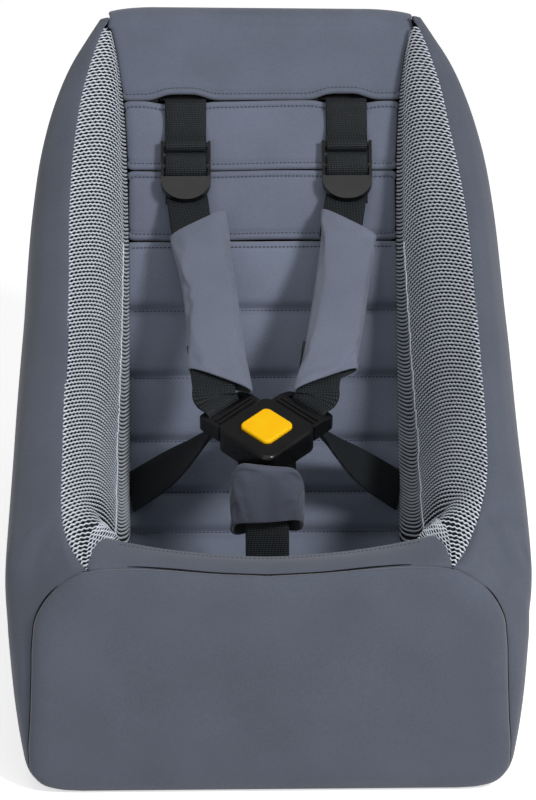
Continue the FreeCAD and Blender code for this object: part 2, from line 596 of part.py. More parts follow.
def harness_straps():
    """One run of webbing from the ladder lock, through pad and tongue, to the hip seam."""
    thick = value("webbing_thick")
    at = value("grip_bar_at")
    lift = value("grip_bar_lift")
    wrap = value("grip_bar_round + clearance") + thick / 2
    tail = (value("lock_tab_end"), lift - wrap)
    grip = [tail] + around(at, lift, wrap, -90, GRIP_TURN)
    grip.append((value("lock_tab_at - grip_dip"), lift - value("grip_dip")))
    for side, sign in SIDES.items():
        slot_top, lock, up, across = strap_route(side)
        back = shoulder(side)
        tongue = TONGUES[side]
        frames = []
        points = [back.multVec(Vector(0, *point)) for point in grip]
        for before, point, after in zip(points[:1] + points, points, points[1:] + [lock]):
            frames.append((point, (after - before).normalize(), X_AXIS))
        low = slot_top + up * value("pad_gap / 2")
        frames += [(lock, up, X_AXIS), (lock - up * 8, up * -1, across), (low, up * -1, across)]
        frames[-3] = (lock, up * -1, across)
        edge = tongue.Rotation.multVec(Vector(0, -sign, 0))
        mid = value("tongue_slot_from + tongue_slot / 2")
        for s, z, run in ((value("tongue_end + 1"), value("tongue_lip") + 2.4, (-1, 0)),
                          (mid + 1.6, value("tongue_lip") + 2, (-1, -0.6)), (mid, value("tongue_lip") - 1, (0, -1)),
                          (mid, value("tongue_low") - 2, (0, -1))):
            forward = tongue.Rotation.multVec(Vector(run[0], 0, run[1])).normalize()
            frames.append((tongue.multVec(Vector(s, 0, z)), forward, edge))
        start = frames[-1][0]
        hip_x = value("seat_width / 2 - clearance / 3") * sign
        hip = BACK.multVec(Vector(hip_x, value("hip_up"), value("hip_lift")))
        sag = Z_AXIS * value("waist_sag")
        out = (hip - start).normalize()
        rise = BACK.Rotation.multVec(Vector(0, -1, 0))
        frames.append((start + out * value("waist_near") - sag * 0.6, out, edge + rise * 0.6))
        frames.append((start + out * value("waist_far") - sag, out, edge * 0.3 + rise))
        frames.append((hip, X_AXIS * sign, rise))
        solid(f"harness_strap_{side}", ribbon(frames, value("webbing"), thick), Placement())


def shoulder_pads():
    """Soft sleeves round the straight run of each strap, longer on the side towards the middle."""
    for side, sign in SIDES.items():
        slot_top, _, up, across = strap_route(side)
        turn = Rotation(across, up.cross(across), up, "ZXY")
        body = new_body(f"shoulder_pad_{side}", Placement(slot_top + up * value("pad_gap"), turn))
        outer = f"pad_wide / 2 * {sign}"
        inner = f"0 - {outer}"
        corners = [(outer, "pad_slant / 2"), (inner, "0 - pad_slant / 2"), (inner, "pad_long + pad_slant / 2"),
                   (outer, "pad_long - pad_slant / 2")]
        pad(body, outline(body, "XZ_Plane", corners), "pad_thick", symmetric=True)
        round_edges(body, "pad_round", lambda e: along(e, Z_AXIS))
        box(body, (f"0 - {SLOT_HALF}", SLOT_HALF), ("0 - webbing_thick", "webbing_thick"),
            ("0 - pad_slant", "pad_long + pad_slant"), cut=True)


# Buckle
def square(body, half, low, high, corner, cut=False):
    """A rounded square block centred on the buckle's axis."""
    edge = f"({half})"
    box(body, (f"0 - {edge}", edge), (f"0 - {edge}", edge), (low, high), cut=cut)
    reach = value(half) * math.sqrt(2)
    middle = value(f"(({low}) + ({high})) / 2")
    round_edges(body, corner, lambda e: along(e, Z_AXIS) and abs(e.CenterOfMass.z - middle) < 0.1
                and abs(math.hypot(e.CenterOfMass.x, e.CenterOfMass.y) - reach) < 0.1)


def cavity(body, low, high):
    """The hollow of the buckle, with its corners cut off to keep the wall."""
    half = "(housing_side / 2 - housing_wall)"
    inset = f"({half} - housing_corner / 2)"
    corners = []
    for a, b in ((1, 1), (-1, 1), (-1, -1), (1, -1)):
        pair = [(f"{half} * {a}", f"{inset} * {b}"), (f"{inset} * {a}", f"{half} * {b}")]
        corners += pair if a == b else pair[::-1]
    sketch = outline(body, "XY_Plane", corners, f"(({low}) + ({high})) / 2")
    pad(body, sketch, f"({high}) - ({low})", symmetric=True, cut=True)


def buckle_housing():
    body = new_body("buckle_housing", BUCKLE)
    half = "housing_side / 2"
    square(body, half, "housing_split", "housing_high", "housing_corner")
    face = value("housing_high") - 0.01
    round_edges(body, "housing_roof - 0.4", lambda e: e.BoundBox.ZMin > face)
    roof = "housing_high - housing_roof"
    cavity(body, "housing_split", roof)
    square(body, "button_side / 2 + clearance", roof, "housing_high", "button_corner + clearance", cut=True)
    mouth = ("0 - blade_wide / 2 - clearance", "blade_wide / 2 + clearance")
    through = (f"{half} - 2 * housing_wall", f"{half} + housing_wall")
    tall = ("housing_split", "blade_high + clearance")
    box(body, through, mouth, tall, cut=True)
    box(body, mouth, through, tall, cut=True)


def buckle_base():
    """The lower shell, with a bar for the crotch strap slung under its front corner."""
    body = new_body("buckle_base", BUCKLE)
    half = "housing_side / 2"
    square(body, half, "0", "housing_split", "housing_corner")
    round_edges(body, "housing_floor", lambda e: e.BoundBox.ZMax < 0.01)
    wide = ("0 - lug_wide / 2", "lug_wide / 2")
    ears = ("0 - lug_at - lug_bar * 0.75", "lug_bar * 0.75 - lug_at")
    box(body, ("0 - lug_at - lug_bar", "lug_bar * 2 - lug_at"), wide, ("0", "wing_thick"), turn=45)
    box(body, ears, ("0 - lug_wide / 2", f"0 - {SLOT_HALF}"), ("0 - lug_low", "wing_thick / 2"), turn=45)
    box(body, ears, (SLOT_HALF, "lug_wide / 2"), ("0 - lug_low", "wing_thick / 2"), turn=45)
    box(body, ("0 - lug_at - lug_bar / 2", "lug_bar / 2 - lug_at"), wide, ("0 - lug_low", "0 - lug_gap"), turn=45)
    cavity(body, "housing_floor", "housing_split")


def release_button():
    """The push button, with two legs whose teeth catch the tongues from below."""
    body = new_body("release_button", BUCKLE)
    half = "button_side / 2"
    square(body, half, "button_low", "housing_high + button_proud", "button_corner")
    face = value("housing_high + button_proud") - 0.01
    round_edges(body, "button_proud * 0.7", lambda e: e.BoundBox.ZMin > face)
    wide = f"({half} + flange_wide)"
    roof = "housing_high - housing_roof - clearance"
    box(body, (f"0 - {wide}", wide), (f"0 - {wide}", wide), (f"{roof} - flange_thick", roof))
    leg = (f"{half} - leg_thick - clearance", f"{half} - clearance")
    across = ("0 - leg_wide / 2", "leg_wide / 2")
    foot = (leg[0], "tooth_to")
    box(body, leg, across, ("foot_low", "button_low + 1"))
    box(body, across, leg, ("foot_low", "button_low + 1"))
    box(body, foot, across, ("foot_low", "foot_high"))
    box(body, across, foot, ("foot_low", "foot_high"))
    top = "foot_high + tooth_high"
    tooth = [("tooth_from", "foot_high"), ("tooth_to", "foot_high"), ("tooth_to", top),
             ("tooth_from + tooth_high", top)]
    pad(body, outline(body, "XZ_Plane", tooth), "leg_wide", symmetric=True)
    pad(body, outline(body, "YZ_Plane", tooth), "leg_wide", symmetric=True)


def tongues():
    """Each tongue has a blade with a notch for the button's tooth, and a slot for the strap."""
    for side, place in TONGUES.items():
        body = new_body(f"tongue_{side}", place)
        near = "(housing_side / 2 + clearance)"
        half = "(tongue_wide / 2)"
        box(body, (near, "tongue_end"), (f"0 - {half}", half), ("tongue_low", "tongue_high"))
        end = value("tongue_end") - 0.1
        round_edges(body, "tongue_corner", lambda e: along(e, Z_AXIS) and e.CenterOfMass.x > end)
        slope = [("tongue_slope", "tongue_high"), ("tongue_end + 1", "tongue_lip"),
                 ("tongue_end + 1", "tongue_high + 1"), ("tongue_slope", "tongue_high + 1")]
        pad(body, outline(body, "XZ_Plane", slope), "tongue_wide + 2", symmetric=True, cut=True)
        for rib in range(2):
            at = f"{near} + 2 + {rib} * 3"
            box(body, (at, f"{at} + 1.2"), (f"0 - {half} + 3", f"{half} - 3"), ("tongue_high - 1", "tongue_high + 0.6"))
        box(body, ("tongue_slot_from", "tongue_slot_from + tongue_slot"), (f"0 - {SLOT_HALF}", SLOT_HALF),
            ("0", "tongue_high + 1"), cut=True)
        box(body, ("blade_tip", f"{near} + 1"), ("0 - blade_wide / 2", "blade_wide / 2"), ("blade_low", "blade_high"))
        top = "(foot_high + tooth_high + catch_spare)"
        slack = "(tooth_from - 1.5 * catch_spare)"
        notch = [(f"{slack} + blade_low - 1 - foot_high", "blade_low - 1"), ("tooth_to + catch_spare", "blade_low - 1"),
                 ("tooth_to + catch_spare", top), (f"{slack} + {top} - foot_high", top)]
        pad(body, outline(body, "XZ_Plane", notch), "leg_wide + 2 * clearance", symmetric=True, cut=True)


def button_spring():
    radius = value("spring_round")
    wire = value("spring_wire / 2")
    low = value("housing_floor") + 1.5 * wire
    high = value("button_low - housing_floor") - 3 * wire
    helix = Part.makeHelix(high / value("spring_turns"), high, radius)
    ring = Part.Wire(Part.makeCircle(wire, Vector(radius, 0, 0), Vector(0, 1, 0)))
    coil = Part.Wire(helix).makePipeShell([ring], True, True)
    solid("button_spring", coil, BUCKLE * Placement(Z_AXIS * low, Rotation()))


# Crotch strap, seen from the side
def crotch_pieces():
    thick = value("webbing_thick")
    y = value("crotch_y")
    tilt = math.radians(value("buckle_tilt"))

    def at_lug(forward, up):
        return (value("buckle_y") - forward * math.cos(tilt) - up * math.sin(tilt),
                value("buckle_z") - forward * math.sin(tilt) + up * math.cos(tilt))

    wrap = value("lug_bar / 2 + clearance") + thick / 2
    near = value("lug_at") - wrap
    far = value("lug_at") + wrap
    over = thick / 2 + value("clearance - lug_gap")
    under = -value("lug_low") - thick
    low = value("cover_thick") + thick
    path = [(y + 6 * thick, low + 3.6 * thick), (y + 6 * thick, low), (y, low), (y, value("seat_height") + 6),
            at_lug(far, under), at_lug(far, over), at_lug(near, over), at_lug(near, under - 3.5 * thick)]
    solid("crotch_strap", prism(band(path, thick), value(STRAP_HALF)), FRONT)
    keeper = [(y + 0.5 * thick + 0.4, low + 0.5 * thick + 0.3), (y + 5.5 * thick - 0.4, low + 0.5 * thick + 0.3),
              (y + 5.5 * thick - 0.4, low + 2.6 * thick), (y + 0.5 * thick + 0.4, low + 2.6 * thick)]
    keeper = [Vector(0, across, up) for across, up in keeper]
    solid("crotch_keeper", prism(keeper, value("keeper_wide / 2")), FRONT)

    place = FRONT * Placement(Vector(0, value("crotch_pad_y"), value("crotch_pad_low")), Rotation())
    body = new_body("crotch_pad", place)
    half = "(crotch_pad_wide / 2)"
    deep = "(crotch_pad_thick / 2)"
    box(body, (f"0 - {half}", half), (f"0 - {deep}", deep), ("0", "crotch_pad_long"))
    box(body, (f"0 - {half}", half), (f"0 - {deep}", f"crotch_pad_wall - {deep}"),
        ("crotch_pad_long", "crotch_pad_long + crotch_flap"))
    round_edges(body, "crotch_pad_wall", lambda e: along(e, Z_AXIS) and e.CenterOfMass.y > 5)
    inner = f"({half} - crotch_pad_wall)"
    box(body, (f"0 - {inner}", inner), (f"crotch_pad_wall - {deep}", f"{deep} - crotch_pad_wall"),
        ("0 - 1", "crotch_pad_long + 1"), cut=True)


def belt_loops():
    """Webbing sewn flat at its ends and standing off the rear face between them."""
    thick = value("webbing_thick")
    half = value("belt_loop_half")
    flat = value("belt_loop_half - belt_loop_flat")
    lift = value("belt_loop_lift")
    path = [(-half, -thick / 2), (-flat, -thick / 2), (value("belt_loop_rise") - flat, -lift - thick / 2)]
    path += [(-across, up) for across, up in path[::-1]]
    strip = [Vector(point.y, 0, point.z) for point in band(path, thick)]
    face = Part.Face(Part.makePolygon(strip + strip[:1]))
    wide = Vector(0, value("webbing"), 0)
    for label, up in (("rear_belt_loop_low", "lower_belt_up"), ("rear_belt_loop_high", "upper_belt_up")):
        place = REAR * Placement(Vector(0, value(f"{up} - {STRAP_HALF}"), 0), Rotation())
        solid(label, face.extrude(wide), place)


front_form = front_block("front_form", "0")
front_foam = front_block("front_foam", "cover_thick")
front_cover = doc.addObject("Part::Cut", "front_cover")
front_cover.Base = front_form
front_cover.Tool = front_foam
seat_foam()
back_foam()
header_cover()
flat_covers()
for side, sign in SIDES.items():
    for label, shape in zip(("side_foam", "side_cover", "mesh_panel"), bolster(sign)):
        solid(f"{label}_{side}", shape, FRONT)
slit_panels()
seat_liner()
shoulder_loops()
ladder_locks()
harness_straps()
shoulder_pads()
buckle_housing()
buckle_base()
release_button()
tongues()
button_spring()
crotch_pieces()
belt_loops()
doc.recompute()

# Every object must have computed cleanly before anything is written
os.makedirs("parts", exist_ok=True)
nodes = [item for item in doc.RootObjects if item not in (sheet, front_form)]
nodes.append(front_foam)
for item in doc.Objects:
    if {"Invalid", "Error"} & set(item.State):
        raise RuntimeError(f"{item.Label} did not compute: {item.State}")
for node in nodes:
    shape = node.Shape
    if shape.isNull() or not shape.isValid() or len(shape.Solids) != 1:
        raise RuntimeError(f"{node.Label} is not one sound solid")
    shape.exportStep(f"parts/{node.Label}.step")
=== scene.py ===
import math

import bmesh
import bpy
import numpy as np
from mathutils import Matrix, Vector


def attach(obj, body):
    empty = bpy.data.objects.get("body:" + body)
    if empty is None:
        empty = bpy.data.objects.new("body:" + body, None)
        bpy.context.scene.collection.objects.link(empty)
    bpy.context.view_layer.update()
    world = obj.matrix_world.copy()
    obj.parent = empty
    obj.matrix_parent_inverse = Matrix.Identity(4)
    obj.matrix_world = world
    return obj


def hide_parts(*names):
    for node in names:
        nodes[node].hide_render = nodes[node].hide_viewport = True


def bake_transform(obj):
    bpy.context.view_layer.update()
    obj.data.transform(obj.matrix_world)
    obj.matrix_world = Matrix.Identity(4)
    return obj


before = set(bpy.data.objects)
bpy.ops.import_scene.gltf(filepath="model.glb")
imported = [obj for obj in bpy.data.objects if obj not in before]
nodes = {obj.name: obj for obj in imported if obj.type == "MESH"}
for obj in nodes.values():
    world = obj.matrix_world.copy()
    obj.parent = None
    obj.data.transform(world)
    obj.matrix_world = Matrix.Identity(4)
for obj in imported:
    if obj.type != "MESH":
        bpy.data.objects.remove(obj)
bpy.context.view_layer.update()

# Measures of the seat in millimetres: X to the right, Y back from the front face, Z up
HALF_DEPTH = 189.5472
LEAN = math.radians(32)
SIN, COS = math.sin(LEAN), math.cos(LEAN)
FOOT_Y, FOOT_Z = 165.0, 61.0
SEAT_HALF = 81.0
BACK_LONG, CROWN = 340.0, 14.0
BASE_DEEP, REAR_SLOPE, REAR_LONG = 262.0, 0.356843, 348.4
REAR_RUN = math.hypot(1, REAR_SLOPE)
SEAM_DEEP, FRONT_WALL, SEAT_BEND = 7.2, 38.5, 16.0
SLITS = (283.0, 239.6, 196.2)
WEB_HALF, WEB_THICK = 12.5, 1.6
SIDES = {"left": -1, "right": 1}
SHOULDER_AT = {"left": -46.3, "right": 51.7}

# Side edge of the front panel from the underside up to the mesh tip, as half width and height
FRONT_EDGE = np.array([(106, 0.4), (119, 1.6), (128.5, 5), (134, 12), (135.2, 24), (133.8, 45), (132.2, 75),
                       (131, 100), (128.6, 116), (122, 127.5), (113, 134.5), (103, 138.6)])
# Top seam of the front panel: half width and height
TOP_SEAM = np.array([(0, 135.9), (29, 137.5), (58, 140.0), (79, 140.8), (95, 140.2), (103, 138.6),
                     (136, 130)])
# Crest seam between mesh and side panel
CREST = np.array([(100, 7.5, 140.5), (106, 16, 144.2), (112.5, 30, 150.8), (118, 52, 162),
                  (119.5, 90, 185.6), (118.5, 130, 212), (118, 160, 231.8), (116, 226, 275.3),
                  (111, 267, 302.3), (107.5, 290, 317.2), (104, 305, 326.8), (100, 319, 335.4),
                  (96.5, 330, 341.6), (93.5, 338, 345.5)])
# Outer half width of the side panel by the depth of its crest
SIDE_HALF = np.array([(7, 145), (36, 146.6), (64, 146.4), (105, 145), (136, 144), (167, 142.8), (199, 141),
                      (231, 138.3), (265, 132.8), (287, 126.3), (310, 116), (326, 106), (338, 98.8)])
# Half width of the header by the distance up the back
HEADER_HALF = np.array([(270, 83.5), (284, 84.5), (300, 86.8), (316, 89.5), (332, 93.2), (345, 94)])


# Places and lines
def place(points):
    """Millimetres from the front face to metres in the row frame."""
    return (np.asarray(points, float) - (0, HALF_DEPTH, 0)) / 1000


def xyz(x, y, z):
    """Places from their three measures, each a number or a grid of them."""
    return np.stack(np.broadcast_arrays(x, y, z), -1)


def on_back(x, up, lift):
    """A place by its distance up the reclined back and its lift off it."""
    return xyz(x, FOOT_Y + up * SIN - lift * COS, FOOT_Z + up * COS + lift * SIN)


def on_rear(x, up, off):
    """A place by its distance up the rear face and its distance off it."""
    y = BASE_DEEP + up * REAR_SLOPE / REAR_RUN + off / REAR_RUN
    return xyz(x, y, up / REAR_RUN - off * REAR_SLOPE / REAR_RUN)


def smooth_line(knots, values, at):
    """A smooth line through values at rising knots, read at the places asked for."""
    knots = np.asarray(knots, float)
    values = np.asarray(values, float)
    at = np.asarray(at, float)
    slope = np.gradient(values, knots, axis=0)
    i = np.clip(np.searchsorted(knots, at, side="right") - 1, 0, len(knots) - 2)
    gap = knots[i + 1] - knots[i]
    t = np.clip((at - knots[i]) / gap, 0, 1)
    extra = (1,) * (values.ndim - 1)
    t = t.reshape(t.shape + extra)
    gap = gap.reshape(gap.shape + extra)
    return ((2 * t ** 3 - 3 * t ** 2 + 1) * values[i] + (t ** 3 - 2 * t ** 2 + t) * gap * slope[i]
            + (3 * t ** 2 - 2 * t ** 3) * values[i + 1] + (t ** 3 - t ** 2) * gap * slope[i + 1])


def curve(table, at):
    """The second column of a table as a smooth line over its first."""
    return smooth_line(table[:, 0], table[:, 1], at)


def run_of(points):
    """Distance along a line of points."""
    steps = np.linalg.norm(np.diff(np.asarray(points, float), axis=0), axis=-1)
    return np.concatenate([[0], np.cumsum(steps)])


def sample(line, run, at):
    """Places on a line at distances along it."""
    return np.stack([np.interp(at, run, line[:, k]) for k in range(line.shape[1])], -1)


def through(points, count):
    """Evenly spaced places on a smooth line through points."""
    points = np.asarray(points, float)
    run = run_of(points)
    fine = smooth_line(run, points, np.linspace(0, run[-1], 40 * len(points)))
    along = run_of(fine)
    return sample(fine, along, np.linspace(0, along[-1], count))


def ease(x, low, high):
    """A soft step from 0 at low to 1 at high."""
    t = np.clip((np.asarray(x, float) - low) / (high - low), 0, 1)
    return t * t * (3 - 2 * t)


def gathered(count, pull=0.75):
    """Shares from 0 to 1 that lie closer together near both ends."""
    t = np.linspace(0, 1, count)
    return (1 - pull) * t + pull * (0.5 - 0.5 * np.cos(math.pi * t))


def spread(count, pull=0.75):
    """Shares from -1 to 1 that lie closer together near both ends."""
    return 2 * gathered(count, pull) - 1


def quarter(d, wide):
    """Height of a quarter-round shoulder at a distance from its edge, from 0 to 1."""
    return np.sqrt(1 - (1 - np.clip(d / wide, 0, 1)) ** 2)


def unit(v):
    v = np.asarray(v, float)
    return v / np.maximum(np.linalg.norm(v, axis=-1, keepdims=True), 1e-9)


def facing(points):
    """Outward directions of a grid of places."""
    return unit(np.cross(np.gradient(points, axis=1), np.gradient(points, axis=0)))


def sunk(points, deep):
    """A grid moved inwards, by one depth or by its own at each place."""
    return points - facing(points) * np.asarray(deep, float)[..., None]


def mirrored(points, sign):
    """A right-hand grid as it is, or turned over for the left."""
    return points if sign > 0 else points[:, ::-1] * (-1, 1, 1)


def spans(points):
    """Distances along the grid's rows and columns from its first ones."""
    down = np.linalg.norm(np.diff(points, axis=0), axis=-1)
    across = np.linalg.norm(np.diff(points, axis=1), axis=-1)
    down = np.concatenate([np.zeros((1, points.shape[1])), np.cumsum(down, 0)], 0)
    across = np.concatenate([np.zeros((points.shape[0], 1)), np.cumsum(across, 1)], 1)
    return down, across


def roll_edges(points, deep, wide, rows=(), cols=()):
    """Turn chosen edges of a panel down into their seams."""
    down, across = spans(points)
    sides = [down if row == 0 else down[-1:] - down for row in rows]
    sides += [across if col == 0 else across[:, -1:] - across for col in cols]
    d = np.minimum.reduce(sides)
    return sunk(points, deep * (1 - quarter(d, wide)))


def mottle(points, size, seed):
    """A soft uneven field between -1 and 1 over places, the same on every run."""
    rng = np.random.default_rng(seed)
    total = np.zeros(points.shape[:-1])
    for _ in range(7):
        way = unit(rng.normal(size=3)) * rng.uniform(0.6, 1.6) * 2 * math.pi / size
        total += np.sin(points @ way + rng.uniform(0, 6.3))
    return total / 7


# Pieces
def deselect():
    if bpy.context.object and bpy.context.object.mode != "OBJECT":
        bpy.ops.object.mode_set(mode="OBJECT")
    bpy.ops.object.select_all(action="DESELECT")


def take(piece):
    deselect()
    piece.select_set(True)
    bpy.context.view_layer.objects.active = piece


def settle(piece, kind, **settings):
    """Add a modifier, set it and apply it."""
    take(piece)
    modifier = piece.modifiers.new(kind.title(), kind)
    for name, setting in settings.items():
        setattr(modifier, name, setting)
    bpy.ops.object.modifier_apply(modifier=modifier.name)


def finish_piece(piece, name, material, body="seat", stands_for=()):
    piece.name = name
    piece.data.name = name
    piece.data.materials.clear()
    piece.data.materials.append(material)
    take(piece)
    bpy.ops.object.shade_smooth()
    if body:
        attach(piece, body)
    if stands_for:
        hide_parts(*stands_for)
    return piece


def cloth_grid(points, thick=1.6):
    """A grid of cloth laid through places, with its flat size as UV map and a thickness inwards."""
    rows, cols = points.shape[:2]
    deselect()
    bpy.ops.mesh.primitive_grid_add(x_subdivisions=cols - 1, y_subdivisions=rows - 1, size=1)
    piece = bpy.context.object
    mesh = piece.data
    mesh.vertices.foreach_set("co", place(points).reshape(-1))
    down, across = spans(points)
    flat = np.stack([across - across[:, -1:] / 2, down], -1).reshape(-1, 2) / 1000
    corners = np.empty(len(mesh.loops), int)
    mesh.loops.foreach_get("vertex_index", corners)
    mesh.uv_layers.active.data.foreach_set("uv", flat[corners].reshape(-1))
    mesh.update()
    if thick:
        settle(piece, "SOLIDIFY", thickness=thick / 1000, offset=-1)
    return piece


def new_piece(name, points, faces, flat=None):
    """A mesh through places, its faces turned outward, with each corner's flat place as UV map."""
    mesh = bpy.data.meshes.new(name)
    mesh.from_pydata(place(points).tolist(), [], faces)
    if flat is not None:
        layer = mesh.uv_layers.new(name="UVMap")
        layer.data.foreach_set("uv", flat.reshape(-1) / 1000)
    tidy = bmesh.new()
    tidy.from_mesh(mesh)
    bmesh.ops.recalc_face_normals(tidy, faces=tidy.faces)
    tidy.to_mesh(mesh)
    tidy.free()
    piece = bpy.data.objects.new(name, mesh)
    bpy.context.scene.collection.objects.link(piece)
    return piece


def wall(rows, cols):
    """Faces round a tube of rings."""
    return [(r * cols + c, r * cols + (c + 1) % cols, (r + 1) * cols + (c + 1) % cols, (r + 1) * cols + c)
            for r in range(rows - 1) for c in range(cols)]


def sweep_strip(centres, across, half, thick):
    """A strap through centres, with rounded edges; across gives its flat way at each centre."""
    centres = np.asarray(centres, float)
    along = unit(np.gradient(centres, axis=0))
    across = np.asarray(across, float)
    across = unit(across - along * np.sum(across * along, -1, keepdims=True))
    up = np.cross(across, along)
    h, t = half, thick / 2
    upper = [(-h, 0), (-h + 0.25, 0.7 * t), (-h + 0.8, t), (-h / 2, t), (0, t), (h / 2, t), (h - 0.8, t),
             (h - 0.25, 0.7 * t)]
    outline = np.asarray(upper + [(-x, -z) for x, z in upper], float)
    ring = (centres[:, None] + across[:, None] * outline[None, :, :1]
            + up[:, None] * outline[None, :, 1:])
    rows, cols = ring.shape[:2]
    faces = wall(rows, cols) + [tuple(range(cols))[::-1], tuple(range((rows - 1) * cols, rows * cols))]
    flat = np.stack([np.broadcast_to(outline[None, :, 0], (rows, cols)),
                     np.broadcast_to(run_of(centres)[:, None], (rows, cols))], -1).reshape(-1, 2)
    corners = [corner for face in faces for corner in face]
    return new_piece("strap", ring.reshape(-1, 3), faces, flat[corners])


def stitch_mesh(lines, long=1.6, pitch=2.4, fat=0.42):
    """Rows of thread: one stitch is a six-sided spindle, repeated along lines of (place, up) pairs."""
    turns = [math.pi * k / 3 for k in range(6)]
    spindle = np.asarray([(at, width * math.cos(turn), width * math.sin(turn))
                          for at, width in ((-0.5, 0.35), (-0.28, 1), (0.28, 1), (0.5, 0.35))
                          for turn in turns])
    shell = wall(4, 6) + [tuple(range(6))[::-1], tuple(range(18, 24))]
    flatness, reach = 0.7, 0.8
    verts, faces = [], []
    for line, ups in lines:
        line = np.asarray(line, float)
        ups = np.broadcast_to(np.asarray(ups, float), line.shape)
        run = run_of(line)
        for at in np.arange(pitch / 2, run[-1], pitch):
            centre, up = sample(line, run, at), sample(ups, run, at)
            way = unit(sample(line, run, at + reach) - sample(line, run, at - reach))
            up = unit(up - way * (up @ way))
            side = np.cross(up, way)
            start = len(verts)
            verts.extend(centre + way * a * long + side * b * fat + up * (c * fat * flatness)
                         for a, b, c in spindle)
            faces.extend(tuple(start + i for i in face) for face in shell)
    return new_piece("stitches", verts, faces)


# Finishes
def feed(tree, taker, inputs):
    """Link sockets to a node's inputs, or set plain values on them."""
    for socket, source in inputs.items():
        if isinstance(source, bpy.types.NodeSocket):
            tree.links.new(source, taker.inputs[socket])
        else:
            taker.inputs[socket].default_value = source


def add(tree, kind, inputs=None, **settings):
    made = tree.nodes.new(kind)
    for name, setting in settings.items():
        setattr(made, name, setting)
    feed(tree, made, inputs or {})
    return made


def maths(tree, operation, *values):
    return add(tree, "ShaderNodeMath", dict(enumerate(values)), operation=operation).outputs[0]


def noise(tree, places, scale, detail):
    inputs = {"Vector": places, "Scale": scale, "Detail": detail}
    return add(tree, "ShaderNodeTexNoise", inputs).outputs["Fac"]


def ramp(tree, share, low, dark, high, light):
    """Tones from dark to light between a low and a high share."""
    made = add(tree, "ShaderNodeValToRGB", {"Fac": share})
    for stop, at, colour in zip(made.color_ramp.elements, (low, high), (dark, light)):
        stop.position = at
        stop.color = colour
    return made.outputs["Color"]


def bump(tree, height, strength, distance):
    inputs = {"Height": height, "Strength": strength, "Distance": distance}
    return add(tree, "ShaderNodeBump", inputs).outputs["Normal"]


def mixed(tree, share, low, high):
    """Colour between two others; a mix node's colour sockets are numbered 6, 7 and 2."""
    return add(tree, "ShaderNodeMix", {0: share, 6: low, 7: high}, data_type="RGBA").outputs[2]


def tint(red, green, blue):
    """A colour written in screen values from 0 to 255, as light."""
    light = [((v / 255 + 0.055) / 1.055) ** 2.4 if v > 10 else v / 255 / 12.92 for v in (red, green, blue)]
    return (*light, 1)


def new_group(name, takes, gives):
    group = bpy.data.node_groups.new(name, "ShaderNodeTree")
    for way, sockets in (("INPUT", takes), ("OUTPUT", gives)):
        for label, kind in sockets:
            group.interface.new_socket(label, in_out=way, socket_type=f"NodeSocket{kind}")
    return group, group.nodes.new("NodeGroupInput").outputs, group.nodes.new("NodeGroupOutput")


def knit_group():
    """Fine knit: rows of loops over the cloth's flat size, with an uneven tone."""
    group, takes, gives = new_group(
        "fine_knit",
        [("Flat", "Vector"), ("Place", "Vector"), ("Dark", "Color"), ("Light", "Color"), ("Loops", "Float"),
         ("Tone", "Float")],
        [("Color", "Color"), ("Height", "Float"), ("Roughness", "Float")])
    flat = add(group, "ShaderNodeVectorMath", {0: takes["Flat"], "Scale": takes["Loops"]}, operation="SCALE")
    loops = add(group, "ShaderNodeTexVoronoi", {"Vector": flat.outputs[0], "Scale": 1.0, "Randomness": 0.55},
                voronoi_dimensions="2D")
    grain = noise(group, takes["Place"], 900.0, 2.0)
    cloud = noise(group, takes["Place"], 28.0, 3.0)
    share = maths(group, "ADD", maths(group, "MULTIPLY_ADD", grain, 0.75, -0.375),
                  maths(group, "MULTIPLY", cloud, takes["Tone"]))
    feed(group, gives, {"Color": mixed(group, share, takes["Dark"], takes["Light"]),
                        "Height": maths(group, "MULTIPLY_ADD", loops.outputs["Distance"], -0.6, grain),
                        "Roughness": maths(group, "MULTIPLY_ADD", cloud, 0.12, 0.72)})
    return group


def new_material(name):
    material = bpy.data.materials.new(name)
    material.use_nodes = True
    tree = material.node_tree
    return material, tree, tree.nodes["Principled BSDF"]


KNIT = knit_group()


def cloth_finish(name, dark, light, loops=1600.0, relief=0.25, sheen=0.25):
    material, tree, surface = new_material(name)
    places = add(tree, "ShaderNodeTexCoord").outputs
    inputs = {"Flat": places["UV"], "Place": places["Object"], "Dark": tint(*dark), "Light": tint(*light),
              "Loops": loops, "Tone": 0.9}
    knit = add(tree, "ShaderNodeGroup", inputs, node_tree=KNIT).outputs
    feed(tree, surface, {"Base Color": knit["Color"], "Roughness": knit["Roughness"],
                         "Normal": bump(tree, knit["Height"], relief, 0.0004), "Sheen Weight": sheen,
                         "Sheen Roughness": 0.5, "Specular IOR Level": 0.25})
    return material


def webbing_finish():
    """Black belt webbing: ribs across and a twill along its length."""
    material, tree, surface = new_material("webbing")
    places = add(tree, "ShaderNodeTexCoord").outputs
    twill = add(tree, "ShaderNodeMapping", {"Vector": places["UV"], "Rotation": (0, 0, math.radians(58))})
    ribs = add(tree, "ShaderNodeTexWave", {"Vector": twill.outputs[0], "Scale": 340.0, "Distortion": 0.8,
                                           "Detail": 1.0, "Detail Scale": 2.0})
    picks = add(tree, "ShaderNodeTexWave", {"Vector": places["UV"], "Scale": 260.0, "Distortion": 0.5},
                bands_direction="Y")
    weave = maths(tree, "MULTIPLY", ribs.outputs["Fac"], picks.outputs["Fac"])
    height = maths(tree, "MULTIPLY_ADD", noise(tree, places["Object"], 700.0, 3.0), 0.5, weave)
    feed(tree, surface, {"Base Color": ramp(tree, height, 0.45, tint(7, 9, 10), 1.0, tint(50, 58, 65)),
                         "Normal": bump(tree, height, 0.5, 0.0004), "Roughness": 0.62, "Sheen Weight": 0.03,
                         "Specular IOR Level": 0.25})
    return material


